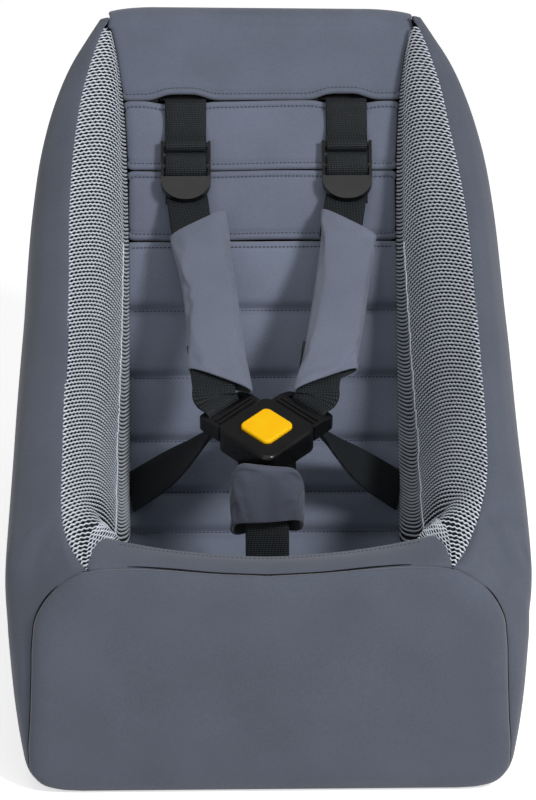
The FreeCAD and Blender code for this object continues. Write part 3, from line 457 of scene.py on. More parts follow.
def hard_finish(name, dark, light, rough, relief, **constants):
    """Moulded plastic or metal with a fine grain and slight wear in its gloss."""
    material, tree, surface = new_material(name)
    places = add(tree, "ShaderNodeTexCoord").outputs["Object"]
    wear = noise(tree, places, 140.0, 4.0)
    feed(tree, surface, {"Base Color": ramp(tree, wear, 0.3, tint(*dark), 0.75, tint(*light)),
                         "Roughness": maths(tree, "MULTIPLY_ADD", wear, 0.2, rough - 0.1),
                         "Normal": bump(tree, noise(tree, places, 2600.0, 2.0), relief, 0.0002)})
    feed(tree, surface, {label.replace("_", " "): value for label, value in constants.items()})
    return material


def yarn_finish():
    """Pale mesh yarn with painted shade: darker down the flanks of its ribs, where they dip between their
    neighbours.
    """
    material, tree, surface = new_material("mesh_yarn")
    strands = noise(tree, add(tree, "ShaderNodeTexCoord").outputs["Object"], 1500.0, 2.0)
    tone = ramp(tree, strands, 0.3, tint(172, 179, 192), 0.7, tint(232, 238, 248))
    # Painted shade: the flank_shade attribute darkens the lower rib flanks to a blue-grey.
    flank_shade = add(tree, "ShaderNodeAttribute", attribute_name="flank_shade").outputs["Fac"]
    feed(tree, surface, {"Base Color": mixed(tree, flank_shade, tone, tint(66, 70, 80)),
                         "Normal": bump(tree, strands, 0.3, 0.0003), "Roughness": 0.55, "Sheen Weight": 0.2})
    return material


COVER = cloth_finish("cover_cloth", (74, 79, 91), (91, 97, 111))
# The header takes a lighter copy of the cover cloth: painted light on the upward-facing header.
COVER_LIT = cloth_finish("cover_cloth_lit", (84, 90, 104), (104, 111, 127))
LINER = cloth_finish("liner_cloth", (92, 98, 114), (112, 119, 136))
QUILT = cloth_finish("quilt_cloth", (103, 110, 127), (125, 133, 151))
PAD = cloth_finish("pad_cloth", (94, 100, 116), (114, 120, 137), loops=1900.0)
CROTCH = cloth_finish("crotch_pad_cloth", (66, 70, 83), (82, 87, 102), loops=1900.0)
BASE_CLOTH = cloth_finish("base_cloth", (34, 36, 41), (48, 51, 57), loops=900.0, relief=0.5)
FOAM = cloth_finish("dark_foam", (20, 21, 24), (30, 32, 36), loops=700.0, relief=0.6, sheen=0)
THREAD = cloth_finish("thread", (58, 62, 74), (84, 89, 103), loops=5000.0, sheen=0)
BLACK_THREAD = cloth_finish("black_thread", (8, 9, 10), (20, 21, 23), loops=5000.0, sheen=0)
YARN = yarn_finish()
WEBBING = webbing_finish()
BLACK = hard_finish("black_plastic", (7, 7, 8), (14, 14, 16), 0.3, 0.1, Coat_Weight=0.1,
                    Specular_IOR_Level=0.35)
YELLOW = hard_finish("yellow_plastic", (255, 190, 0), (255, 200, 0), 0.55, 0.08, Specular_IOR_Level=0.2)
STEEL = hard_finish("spring_steel", (120, 122, 126), (150, 152, 156), 0.3, 0.05, Metallic=1.0)


# Camera at the photograph's angle, soft studio light and a pale floor
def aim(made, at, target):
    """Put a camera or lamp at a place and turn it to a target."""
    thing = bpy.data.objects.new(made.name, made)
    bpy.context.scene.collection.objects.link(thing)
    thing.location = at
    thing.rotation_euler = (Vector(target) - Vector(at)).to_track_quat("-Z", "Y").to_euler()
    return thing


def seen_share(tree):
    """One for rays that the camera sees, straight or through clear pieces."""
    rays = add(tree, "ShaderNodeLightPath").outputs
    return maths(tree, "MAXIMUM", rays["Is Camera Ray"], rays["Is Transmission Ray"])


def studio():
    scene = bpy.context.scene
    scene.view_settings.view_transform = "Standard"
    lens = bpy.data.cameras.new("camera")
    lens.lens = 147.0
    lens.shift_x = -0.00125
    lens.shift_y = 0.003
    lens.sensor_width = 36
    lens.clip_end = 20
    scene.camera = aim(lens, (-0.0268, -1.7613, 0.9771), (0.00196, -0.03955, 0.17408))

    for name, at, target, size, power in (
            ("key", (1.1, -1.3, 1.5), (0, 0, 0.16), 0.36, 29),
            ("front_fill", (-0.7, -2.0, 1.0), (0, 0, 0.14), 1.5, 8),
            ("top", (0.0, -0.5, 2.2), (0, 0.05, 0.2), 1.2, 7)):
        lamp = bpy.data.lights.new(name, "AREA")
        lamp.shape = "SQUARE"
        lamp.size = size
        lamp.energy = power
        aim(lamp, at, target)

    world = bpy.data.worlds.new("studio")
    scene.world = world
    world.use_nodes = True
    tree = world.node_tree
    strength = add(tree, "ShaderNodeMapRange", {"Value": seen_share(tree), "To Min": 0.25, "To Max": 1.0})
    feed(tree, tree.nodes["Background"], {"Color": (1, 1, 1, 1), "Strength": strength.outputs[0]})

    deselect()
    bpy.ops.mesh.primitive_plane_add(size=14, location=(0, 0, -0.0005))
    floor = bpy.context.object
    floor.name = "floor"
    material, tree, surface = new_material("pale_floor")
    tree.nodes.remove(surface)
    matte = add(tree, "ShaderNodeBsdfDiffuse", {"Color": (0.86, 0.86, 0.87, 1)}).outputs[0]
    glow = add(tree, "ShaderNodeEmission", {"Color": (1, 1, 1, 1), "Strength": 0.62}).outputs[0]
    both = add(tree, "ShaderNodeAddShader", {0: matte, 1: glow}).outputs[0]
    mix = add(tree, "ShaderNodeMixShader", {0: seen_share(tree), 1: matte, 2: both}).outputs[0]
    feed(tree, tree.nodes["Material Output"], {"Surface": mix})
    floor.data.materials.append(material)


studio()
stitching, dark_stitches, mesh_chains = [], [], []


def padding(name, grids, node):
    """Dark foam just under panels, seen only through the mesh and in the seams."""
    layers = [cloth_grid(points[::2, ::2], 1.0) for points in grids]
    take(layers[0])
    for layer in layers[1:]:
        layer.select_set(True)
    bpy.ops.object.join()
    piece = finish_piece(bpy.context.object, name, FOAM, stands_for=[node])


# Front panel
def front_surface():
    run = run_of(FRONT_EDGE)
    t = gathered(84)
    side = smooth_line(run / run[-1], FRONT_EDGE, t)
    u = spread(150)
    x = side[:, :1] * u[None]
    sag = curve(TOP_SEAM, np.abs(x)) - FRONT_EDGE[-1, 1]
    z = side[:, 1:] + sag * ease(t, 0.4, 1)[:, None]
    face = np.stack([x, z], -1)
    rim = np.concatenate([face[0], face[:, -1], face[-1, ::-1], face[::-1, 0]])
    d = np.full(x.shape, 1e9)
    for a, b in zip(rim, np.roll(rim, -1, 0)):
        leg = b - a
        share = np.clip(((x - a[0]) * leg[0] + (z - a[1]) * leg[1]) / max(leg @ leg, 1e-9), 0, 1)
        d = np.minimum(d, np.hypot(x - a[0] - share * leg[0], z - a[1] - share * leg[1]))
    roll = 12 + 9 * ease(t, 0.72, 0.96)[:, None]
    y = SEAM_DEEP - 6.4 * quarter(d, roll) - 0.8 * ease(d, 5, 70)
    points = xyz(x, y, z)
    points[..., 1] += 0.25 * mottle(points, 90, 3) * ease(d, 6, 30)
    under = [xyz(u * wide, deep, 0.4)
             for deep, wide in ((37, 126), (28, 123), (20, 119), (13, 113), (9, 108))]
    return np.concatenate([np.stack(under), points], 0)


FRONT = front_surface()
FRONT_RIM = FRONT[5:, -1]


def front_panel():
    piece = finish_piece(cloth_grid(FRONT, 2.0), "front_panel", COVER, stands_for=["front_cover"])
    under = 3.5
    padding("front_padding", [sunk(FRONT, under), sunk(lip_surface(), under)[:, 6:-6]], "front_foam")


def seam_shade_cords():
    """Near-black cords sunk in the seams round the front panel, as painted shade for the dark lines of the
    seam grooves.
    """
    x = np.linspace(-80, 80, 80)
    z = curve(TOP_SEAM, np.sqrt(x ** 2 + 16)) + 0.15
    lines = [xyz(x, 7.8, z)]
    side = FRONT_RIM[14:-9] + (0.2, 0.7, 0.1)
    lines += [side, side * (-1, 1, 1)]
    for name, line in zip(("front_seam_shade_top", "front_seam_shade_right", "front_seam_shade_left"), lines):
        share = np.linspace(0, 1, len(line))
        ends = 1 - ease(share, 0, 0.35) * (1 - ease(share, 0.65, 1))
        line = line + ends[:, None] * (0, 1.8, 0)
        cord = sweep_strip(line, np.broadcast_to((0, 1.0, 0), line.shape), 0.6, 0.6)
        # The black thread finish on the cords is painted seam shade.
        finish_piece(cord, name, BLACK_THREAD)


# Lip over the front wall
def lip_surface():
    u = spread(121, 0.5)
    far = np.abs(u)
    rows = []
    front_z = curve(TOP_SEAM, np.abs(100 * u)) + 1.6 * far ** 6
    rear_z = 134.6 + 12.4 * far ** 1.8
    for v in gathered(34, 0.5):
        x = u * (100 - 6 * v ** 1.5)
        y = SEAM_DEEP + (31.5 - SEAM_DEEP) * v + 1.2 * far ** 4 * v
        z = front_z + (rear_z - front_z) * v + 1.5 * math.sin(math.pi * v)
        rows.append(xyz(x, y, z))
    edge = rows[-1]
    fold = 4.5
    for turn in np.linspace(0.12, math.pi / 2, 10):
        x = edge[:, 0] - np.sign(u) * 9 * ease(far, 0.6, 1) * (1 - math.cos(turn))
        y = edge[:, 1] + fold * math.sin(turn)
        rows.append(xyz(x, y, edge[:, 2] - fold * (1 - math.cos(turn))))
    edge = rows[-1]
    for drop in (3, 7, 12, 20, 30):
        x = edge[:, 0] * (1 - (1 - 80.5 / 84.9) * min(drop / 12, 1))
        rows.append(xyz(x, edge[:, 1] + 0.05 * drop, edge[:, 2] - drop))
    return np.stack(rows)


def lip_panel():
    points = roll_edges(lip_surface(), 2.4, 5, rows=[0])
    points = roll_edges(points, 1.2, 4, cols=[0, 1])
    piece = finish_piece(cloth_grid(points, 1.6), "front_lip", COVER, stands_for=["front_cover"])
    seam = (28, slice(12, -12))
    stitching.append((points[seam], facing(points)[seam]))


def inner_lining():
    u = spread(60, 0.4)
    z = np.linspace(60, 118, 26)
    y = 38.6 + 0.5 * np.sin((z[:, None] - 60) / 58 * math.pi) * np.cos(u * math.pi / 2)[None]
    points = xyz(SEAT_HALF * u[::-1], y, z[:, None])
    piece = finish_piece(cloth_grid(points, 1.2), "front_lining", COVER, stands_for=["inner_front_lining"])


# Bolsters: mesh inside, smooth cloth outside
def crest_at(y, sign):
    """Crest seam in right-hand places; in the middle both crests lie a little to the right."""
    line = smooth_line(CREST[:, 1], CREST, y)
    line[..., 0] += (3.4 if sign > 0 else -5.0) * ease(y, 25, 75) * (1 - ease(y, 165, 280))
    return line


# Floor seam of the mesh, by the depth of the crest that it pairs with
FLOOR = [(7.5, (99.6, 8, 139.8)), (12, (98.4, 14, 142.2)), (17, (97, 20.5, 144.3)), (23, (95, 27, 145.4)),
         (29, (92, 32, 145)), (35, (87.5, 35.5, 143)), (41, (82.5, 37.5, 139.5)), (50, (81.2, 38.6, 122)),
         (60, (81, 39.8, 95)), (70, (81, 46, 64)), (84, (81, 75, 59.5)), (101, (81, 112, 59.5)),
         (118, (81, 150, 59.8))]
FLOOR += [(y, tuple(on_back(x, up, lift))) for y, x, up, lift in (
    (133, 81, 12, -1.5), (159, 81, 60, -1.5), (194, 81, 120, -1.5), (234, 81.3, 180, -1.5),
    (268, 82, 230, -1.5), (293, 83.3, 265, -1.2), (313, 85.8, 293, -0.5), (328, 89.5, 316, 1),
    (338, 93.2, 332, 3))]
# Share of the mesh's width at which its ridge lies above the floor seam, along the crest
RIDGE = [(7, 0.45), (40, 0.5), (90, 0.54), (130, 0.57), (170, 0.5), (220, 0.42), (338, 0.4)]


def mesh_surface(sign, cols=64):
    """The right-hand mesh from crest seam to floor seam, rows from the front tip to the top tip."""
    t = np.unique(np.concatenate([np.linspace(7.5, 60, 46), np.linspace(60, 338, 150)]))
    crest = crest_at(t, sign)
    foot = smooth_line([y for y, _ in FLOOR], [point for _, point in FLOOR], t)
    rise = crest - foot
    a = foot + rise * (0.27, 0.76, 0.76)
    b = foot + rise * (0.02, 0.54, 0.54)
    w = np.linspace(0, 1, 160)[None, :, None]
    bow = ((1 - w) ** 3 * crest[:, None] + 3 * (1 - w) ** 2 * w * a[:, None]
           + 3 * (1 - w) * w ** 2 * b[:, None] + w ** 3 * foot[:, None])
    rows = []
    for row in bow:
        run = run_of(row)
        rows.append(sample(row, run, np.linspace(0, run[-1], cols)))
    points = np.stack(rows)[:, ::-1]
    ridge_at = np.interp(t, *np.transpose(RIDGE))
    ridge = np.exp(-((np.linspace(0, 1, cols)[None] - ridge_at[:, None]) / 0.05) ** 2)
    ridge = ridge * ease(t, 30, 70)[:, None] * (1 - ease(t, 220, 280)[:, None])
    return sunk(points, -0.9 * ridge), ridge_at


# Slant of the mesh's ribs from its crest to its ridge and on to the floor
RIB_SLOPE = (1.05, 0.95, 0.72, 0.42, 0.38, 0.95, 1.2, 1.25)


def spacer_mesh(points, ridge_at):
    """Knitted spacer cloth: slanting zigzag ribs that touch their neighbours and leave lens-shaped holes."""
    rows, cols = points.shape[:2]
    every = np.arange(rows)
    out = facing(points)
    width = spans(points)[1][:, -1]
    pitch, step, rib, swing = 3.4, 2.55, 1.7, 0.44
    stride = pitch / 4
    flank, crown = -0.4, 0.22
    inward = np.arange(0, width.max() + pitch, stride)

    def read(source, inset, r):
        """Value of a grid at a distance in from the crest and at a row."""
        wide = np.maximum(np.interp(r, every, width), 0.1)
        c = np.clip(1 - inset / wide, 0, 1) * (cols - 1)
        r0 = np.clip(np.asarray(r).astype(int), 0, rows - 2)
        c0 = np.clip(c.astype(int), 0, cols - 2)
        fr = (r - r0)[..., None]
        fc = (c - c0)[..., None]
        return ((1 - fr) * ((1 - fc) * source[r0, c0] + fc * source[r0, c0 + 1])
                + fr * ((1 - fc) * source[r0 + 1, c0] + fc * source[r0 + 1, c0 + 1]))

    # Lengths along the panel at each distance in from its crest, from a shared middle row
    runs = [run_of(read(points, inset, every)) for inset in inward]
    runs = [run - run[rows // 3] for run in runs]
    at = np.arange(runs[0][0] - 2 * width.max(), max(run[-1] for run in runs), step)
    track, shares = [], []
    for inset, run in zip(inward, runs):
        track.append(at)
        row = np.interp(at, run, every)
        reach = np.maximum(np.interp(row, every, width * (1 - ridge_at)), 0.1)
        shares.append(inset / reach)
        at = at + stride * np.interp(inset / reach, (0, 0.3, 0.6, 0.9, 1, 1.12, 1.4, 3), RIB_SLOPE)
    verts, faces, flank_shade = [], [], []
    for k, (line, share) in enumerate(zip(np.stack(track, 1), np.stack(shares, 1))):
        line = line + swing * np.cos(2 * math.pi * inward / pitch + k * math.pi)
        row = np.array([np.interp(y, run, every) for y, run in zip(line, runs)])
        inside = (row > 0) & (row < rows - 4) & (inward < np.interp(row, every, width) + stride)
        spots = np.flatnonzero(inside)
        for spell in np.split(spots, np.flatnonzero(np.diff(spots) > 1) + 1):
            if len(spell) < 3:
                continue
            first = sum(len(part) for part in verts)
            half = rib / 2 * (1 - 0.25 * ease(share[spell], 0.4, 0.9))
            edge = line[spell, None] + half[:, None] * np.array((-1, -0.5, 0.5, 1))
            r = np.stack([np.interp(e, runs[i], every) for e, i in zip(edge, spell)])
            inset = np.broadcast_to(inward[spell, None], r.shape)
            lift = np.array((flank, crown, crown, flank))[None, :, None]
            verts.append((read(points, inset, r) + unit(read(out, inset, r)) * lift).reshape(-1, 3))
            # Painted shade: the outer corners of each rib ring, low on its flanks, are marked for darkening.
            flank_shade += [1.0, 0.0, 0.0, 1.0] * len(spell)
            for i in range(len(spell) - 1):
                for c in range(4):
                    a, b = first + 4 * i + c, first + 4 * i + (c + 1) % 4
                    faces.append((a, a + 4, b + 4, b))
            faces.append((first, first + 1, first + 2, first + 3))
            last = first + 4 * (len(spell) - 1)
            faces.append((last + 3, last + 2, last + 1, last))
    return np.concatenate(verts), faces, flank_shade


def mesh_panel(side, sign):
    points, ridge_at = mesh_surface(sign)
    points = roll_edges(points, 1.0, 3, cols=[0, 1])
    verts, faces, flank_shade = spacer_mesh(points, ridge_at)
    # Chain stitches along the ridge, clear of both tips
    line = np.arange(34, len(points) - 60)
    col = np.round(ridge_at[line] * (points.shape[1] - 1)).astype(int)
    up = facing(points)[line, col]
    mesh_chains.append(((points[line, col] + up * 0.5) * (sign, 1, 1), up * (sign, 1, 1)))
    piece = new_piece("mesh", verts * (sign, 1, 1), faces)
    # The flank_shade attribute carries the painted shade of the rib flanks to the yarn finish.
    piece.data.attributes.new("flank_shade", "FLOAT", "POINT").data.foreach_set("value", flank_shade)
    finish_piece(piece, f"mesh_{side}", YARN, stands_for=[f"mesh_panel_{side}"])
    backing = sunk(mesh_surface(sign, 40)[0], 1.1)[8:-8]
    outer = sunk(side_surface(sign), 4.0)[4:-14]
    padding(f"side_padding_{side}", [mirrored(backing, sign), mirrored(outer, sign)], f"side_foam_{side}")


def side_surface(sign):
    """The right-hand side panel: rows from the front seam round to the top, columns from crest to base."""
    way_y, way_z = REAR_SLOPE / REAR_RUN, 1 / REAR_RUN
    bases = [(36, (36, 0.8)), (66, (90, 0.8)), (110, (158, 0.8)), (155, (226, 0.8)), (180, (259, 2.5))]
    bases += [(c, (BASE_DEEP - 1 + REAR_LONG * s * way_y, REAR_LONG * s * way_z))
              for c, s in ((210, 0.2), (245, 0.44), (280, 0.67), (306, 0.83), (326, 0.94), (338, 1.0))]
    t = 36 + 302 * gathered(120, 0.35)
    base = smooth_line([c for c, _ in bases], [b for _, b in bases], t)
    crest = crest_at(t, sign)
    side = curve(SIDE_HALF, t)
    foot = xyz(0, base[:, 0], base[:, 1])
    rise = crest * (0, 1, 1) - foot
    shape = [(0, 0.0, 1.0), (0.3, 0.0, 0.992), (0.62, 0.0, 0.966), (0.9, 0.0, 0.905), (1, 0.0, 0.79),
             (1, -0.6, 0.6), (1, -2.4, 0.36), (1, -5.5, 0.14), (1, -9, 0.035), (1, -15, 0.0)]
    lines = []
    for out, tuck, climb in shape:
        x = crest[:, 0] + out * (side - crest[:, 0]) + tuck
        lines.append(foot + rise * climb + xyz(x, 0, 0))
    net = np.stack(lines, 1)
    knots = np.linspace(0, 1, len(shape))
    body = np.moveaxis(smooth_line(knots, np.moveaxis(net, 1, 0), gathered(70, 0.4)), 0, 1)
    seam = [(99.5, SEAM_DEEP, 140.5)] + FRONT_RIM[::-3].tolist() + [FRONT_RIM[0].tolist()]
    start = (through(seam, 70) - (0, 0, 70)) * (0.992, 1, 0.99) + (0, 1.2, 70)
    rows = []
    for turn in np.linspace(0, math.pi / 2, 26)[:-1]:
        back = 1 - math.cos(turn)
        rows.append(start + (body[0] - start) * (math.sin(turn) ** 0.85, back, back))
    cap = []
    last = body[-1]
    inner = last[0, 0]
    for turn in np.linspace(0, math.pi / 2, 14)[1:]:
        x = inner + (last[:, 0] - inner) * math.cos(turn)
        lift = 1.2 * math.sin(turn)
        cap.append(xyz(x, last[:, 1] + lift * SIN, last[:, 2] + lift * COS))
    points = np.concatenate([np.stack(rows), body, np.stack(cap)], 0)
    points[3:25, 0] = crest_at(np.clip(points[3:25, 0, 1], 7.5, 36), sign)
    return points


# Soft creases behind the front corner: ends, height (a valley is negative) and width
CREASES = (((129, 44, 155.5), (142, 34, 136), -2.6, 5), ((131, 38, 150), (139.3, 27, 130), 1.3, 4),
           ((119.8, 37.7, 154.2), (130.4, 23.5, 134), -1.7, 4),
           ((116.6, 20.8, 143), (129, 19, 129), -1.4, 4), ((142, 24, 122), (144, 30, 96), -1.0, 5))


def side_panel(side, sign):
    plain = side_surface(sign)
    below_cap = 1 - ease(np.arange(len(plain)), len(plain) - 22, len(plain) - 14)[:, None]
    points = plain + (roll_edges(plain, 1.0, 4, cols=[0]) - plain) * below_cap[..., None]
    lift = 0.5 * mottle(points, 120, 11 + sign) * below_cap
    for start, stop, height, wide in CREASES:
        leg = np.subtract(stop, start)
        share = np.clip((points - start) @ leg / (leg @ leg), 0, 1)[..., None]
        away = np.linalg.norm(points - start - share * leg, axis=-1)
        lift += (height if sign > 0 else 0.35 * height) * np.exp(-(away / wide) ** 2)
    piece = cloth_grid(mirrored(sunk(points, -lift), sign), 1.8)
    finish_piece(piece, f"side_panel_{side}", COVER, stands_for=[f"side_cover_{side}"])


# Back and seat
def slit_opening(x):
    """How far the cloth gapes beside the straps in the top slit, from 0 to 1."""
    return sum(np.exp(-((x - at + 2) / 15.5) ** 4) for at in SHOULDER_AT.values())


def crown_rise(x):
    """The padded top edge bulges in the middle and rounds off at its corners."""
    corner = np.clip((np.abs(x) - 64) / 34, 0, 1)
    return 3.6 - 0.014 * x - 6.5 * (1 - np.sqrt(1 - corner ** 2))


def header_surface():
    u = spread(130, 0.5)
    rows = []
    low = SLITS[0] + 0.3
    flat = low + (BACK_LONG - CROWN - low) * gathered(44, 0.6)
    for up in flat:
        half = curve(HEADER_HALF, up)
        open_slit = slit_opening(u * half)
        near = 1 - ease(up, low, low + 16)
        lift = 1.2 * math.sin(math.pi * ease(up, low, 350)) * (1 - u ** 4)
        up = up + 3.4 * open_slit * near + crown_rise(u * half) * ease(up, 300, 335)
        rows.append(on_back(u * half, up, lift + 2.4 * open_slit * near))
    for turn in np.linspace(0.1, math.pi / 2, 14):
        half = 95.5 - 1.5 * math.cos(turn)
        rows.append(on_back(u * half, BACK_LONG - CROWN + CROWN * math.sin(turn) + crown_rise(u * half),
                            CROWN * (math.cos(turn) - 1)))
    for deep, half in ((18, 95), (22, 95), (27, 94.5), (31, 93), (34, 90), (36.5, 85)):
        rows.append(on_back(u * half, BACK_LONG + crown_rise(u * 95), -deep))
    points = np.stack(rows)
    # Nothing stands out behind the rear face
    rear = BASE_DEEP - 0.8 + points[..., 2] * REAR_SLOPE
    points[..., 1] = np.minimum(points[..., 1], rear)
    return points


HEM = 5.2


def hem(points, first):
    """Groove of a stitched hem beside a panel's first or last row."""
    down, _ = spans(points)
    d = down if first else down[-1:] - down
    groove = 0.7 * np.exp(-((d - HEM) / 1.3) ** 2) - 0.5 * np.exp(-((d - HEM / 2.2) / 2) ** 2)
    return sunk(points, groove)


def stitch_row(points, first, skip=2):
    """The line of a hem on a panel beside its first or last row, with the way out of the cloth."""
    down, _ = spans(points)
    d = down if first else down[-1:] - down
    out = facing(points)
    line, ups = [], []
    for col in range(skip, points.shape[1] - skip):
        order = np.argsort(d[:, col])
        line.append(sample(points[order, col], d[order, col], HEM))
        ups.append(sample(out[order, col], d[order, col], HEM))
    return np.asarray(line) + np.asarray(ups) * 0.1, np.asarray(ups)


def header_panel():
    points = roll_edges(header_surface(), 1.6, 2.4, rows=[0])
    points = roll_edges(points, 1.2, 3.5, cols=[0, 1])
    # Over the crown the ends turn down into the bolsters
    turned = roll_edges(points, 9, 3, cols=[0, 1])
    first_row, last_row = 45, 52
    over = ease(np.arange(len(points)), first_row, last_row)[:, None, None]
    points = hem(points + (turned - points) * over, True)
    # Lighter copy of the cover cloth on the header: painted light.
    piece = finish_piece(cloth_grid(points, 1.6), "header_panel", COVER_LIT, stands_for=["header_cover"])
    stitching.append(stitch_row(points, True))


def slit_panel(name, node, high, low, has_straps):
    """A padded panel of the back between two slits; straps press its upper edge in."""
    u = spread(130, 0.5)
    opening = slit_opening(u * SEAT_HALF) if has_straps else 0 * u
    rows = []
    for share in gathered(46, 0.7):
        up = low + 0.3 + (high - low - 0.6) * share
        near = ease(share, 0.7, 1)
        lift = math.sin(math.pi * share) * (1 - u ** 6)
        wave = 0.35 * np.sin(u * 5.0 + high)
        half = SEAT_HALF + 0.5 + 2.5 * ease(up, 225, 290)
        rows.append(on_back(u * half, up - 1.6 * opening * near + wave, lift - 1.6 * opening * near))
    points = roll_edges(np.stack(rows), 1.6, 2.4, rows=[0, 1])
    points = roll_edges(points, 2.0, 5, cols=[0, 1])
    points = hem(hem(points, True), False)
    piece = finish_piece(cloth_grid(points, 1.6), name, LINER, stands_for=[node])
    stitching.extend([stitch_row(points, True), stitch_row(points, False)])


def seat_path(count):
    """Side view of the quilted liner: from the lowest slit down the back and forward to the front wall."""
    back = [(FOOT_Y + up * SIN, FOOT_Z + up * COS) for up in np.linspace(SLITS[2] - 0.3, SEAT_BEND, 60)]
    a, corner, b = np.array(back[-1]), np.array((FOOT_Y, FOOT_Z)), np.array((FOOT_Y - SEAT_BEND, FOOT_Z))
    turn = [tuple((1 - t) ** 2 * a + 2 * t * (1 - t) * corner + t * t * b)
            for t in np.linspace(0, 1, 24)[1:-1]]
    seat = [(y, FOOT_Z) for y in np.linspace(b[0], FRONT_WALL, 40)]
    line = np.asarray(back + turn + seat)
    run = run_of(line)
    at = np.linspace(0, run[-1], count)
    return sample(line, run, at), at


QUILT_SEAMS = (SLITS[2] - 154, SLITS[2] - 113, SLITS[2] - 74, SLITS[2] - 42.5, SLITS[2] - 18.5)


def seat_liner():
    path, run = seat_path(250)
    seams = [0] + [s - 0.3 for s in QUILT_SEAMS]
    forward = run[-1] - (FOOT_Y - FRONT_WALL - SEAT_BEND)
    seams += [forward + 22, forward + 58, forward + 88, run[-1]]
    seams = np.asarray(seams)
    cell = np.clip(np.searchsorted(seams, run, side="right") - 1, 0, len(seams) - 2)
    share = (run - seams[cell]) / (seams[cell + 1] - seams[cell])
    puff = 1 - (2 * share - 1) ** 2
    near = np.min(np.abs(run[:, None] - seams[None, 1:-1]), axis=1)
    valley = np.exp(-(near / 2.7) ** 1.5)
    way = unit(np.gradient(path, axis=0))
    out = np.stack([way[:, 1], -way[:, 0]], -1)
    u = spread(90, 0.55)
    x = (SEAT_HALF + 0.3) * u
    lift = (0.4 + 1.9 * puff - 4.6 * valley)[:, None] - 1.4 * np.abs(u)[None] ** 14
    flat = xyz(x, run[:, None], 0)
    lift = lift + 0.8 * mottle(flat, 46, 5) * puff[:, None] * 0.8
    y = path[:, :1] + out[:, :1] * lift
    z = path[:, 1:] + out[:, 1:] * lift
    points = hem(roll_edges(xyz(x, y, z)[::-1], 1.6, 2.4, rows=[1]), False)
    for seam in seams[1:-1]:
        row = len(run) - 1 - int(np.argmin(np.abs(run - seam)))
        dark_stitches.append((points[row, 3:-3], facing(points)[row, 3:-3]))
    piece = cloth_grid(points, 1.6)
    finish_piece(piece, "seat_quilt", QUILT, stands_for=["seat_liner"])
    stitching.append(stitch_row(points, False))


# Rear and underside
def rear_and_base():
    u = spread(70, 0.4)
    rows = []
    for up in REAR_LONG * gathered(90, 0.4):
        half = np.interp(up / REAR_LONG, (0, 0.34, 0.6, 0.8, 0.93, 1), (134, 129.5, 122.5, 111.5, 99, 88.5))
        puff = 1.2 * math.sin(math.pi * up / REAR_LONG) * (1 - u ** 6)
        rows.append(on_rear(-u * half, up, puff - 1.6) + (0, 0, 0.6))
    points = roll_edges(np.stack(rows), 1.6, 5, rows=[1], cols=[0, 1])
    piece = finish_piece(cloth_grid(points, 1.2), "rear_panel", COVER, stands_for=["rear_cover"])
    y = 36 + (BASE_DEEP - 1 - 36) * gathered(60, 0.3)
    half = curve(SIDE_HALF, np.interp(y, (36, 90, 158, 226, 259), (36, 66, 110, 155, 180)))
    x = -spread(60, 0.3) * np.minimum(half - 10, 134)[:, None]
    base = roll_edges(xyz(x, y[:, None], 0.3), -1.2, 5, rows=[0], cols=[0, 1])
    piece = finish_piece(cloth_grid(base, -1.2), "base_panel", BASE_CLOTH, stands_for=["bottom_cover"])


front_panel()
seam_shade_cords()
lip_panel()
inner_lining()
for side, sign in SIDES.items():
    mesh_panel(side, sign)
    side_panel(side, sign)
header_panel()
slit_panel("upper_panel", "liner_upper_panel", SLITS[0], SLITS[1], True)
slit_panel("middle_panel", "liner_middle_panel", SLITS[1], SLITS[2], False)
seat_liner()
rear_and_base()
finish_piece(stitch_mesh(stitching), "stitches", THREAD)
finish_piece(stitch_mesh(dark_stitches), "quilt_stitches", BLACK_THREAD)
finish_piece(stitch_mesh(mesh_chains, long=2.9, fat=0.6), "mesh_chains", YARN)

# Harness
BUCKLE_AT = np.array((0, 116.0, 161.0))
TILT = math.radians(15)
DIAGONAL = math.sqrt(0.5)
black_stitches = []


def in_tongue(sign, along, high):
    """A place in a tongue's own frame: along it from the buckle's middle, and up from the buckle's base."""
    way = np.array((sign * DIAGONAL, DIAGONAL * math.cos(TILT), DIAGONAL * math.sin(TILT)))
    up = np.array((0, -math.sin(TILT), math.cos(TILT)))
    return BUCKLE_AT + way * along + up * high


def tongue_edge(sign):
    """The way along a tongue's slot."""
    return np.array((sign * DIAGONAL, -DIAGONAL * math.cos(TILT), -DIAGONAL * math.sin(TILT)))


def bend(at, lift, radius, start, stop, count=9):
    turns = np.radians(np.linspace(start, stop, count))
    return [(at + radius * math.cos(turn), lift + radius * math.sin(turn)) for turn in turns]


def strap_line(side, sign):
    """The slot's top, the ladder lock, the way between them and the way across the strap."""
    low = in_tongue(sign, 41.1, 12.8)
    high = on_back(SHOULDER_AT[side], 227.2, 5)
    up = unit(high - low)
    across = unit(np.array((1.0, 0, 0)) - up * up[0])
    return low, high, up, across


def woven(line, across, name, node, body="seat"):
    """Webbing along a line, and the node that it stands for."""
    piece = sweep_strip(line, np.broadcast_to(across, line.shape), WEB_HALF, WEB_THICK)
    return finish_piece(piece, name, WEBBING, body=body, stands_for=[node])


def twisted(turn):
    """A line through places, with the way across the strap at each."""
    spots = [point for point, _ in turn]
    line = through(spots, 80)
    knots, reached = run_of(spots), run_of(line)
    return line, smooth_line(knots / knots[-1], [unit(way) for _, way in turn], reached / reached[-1])


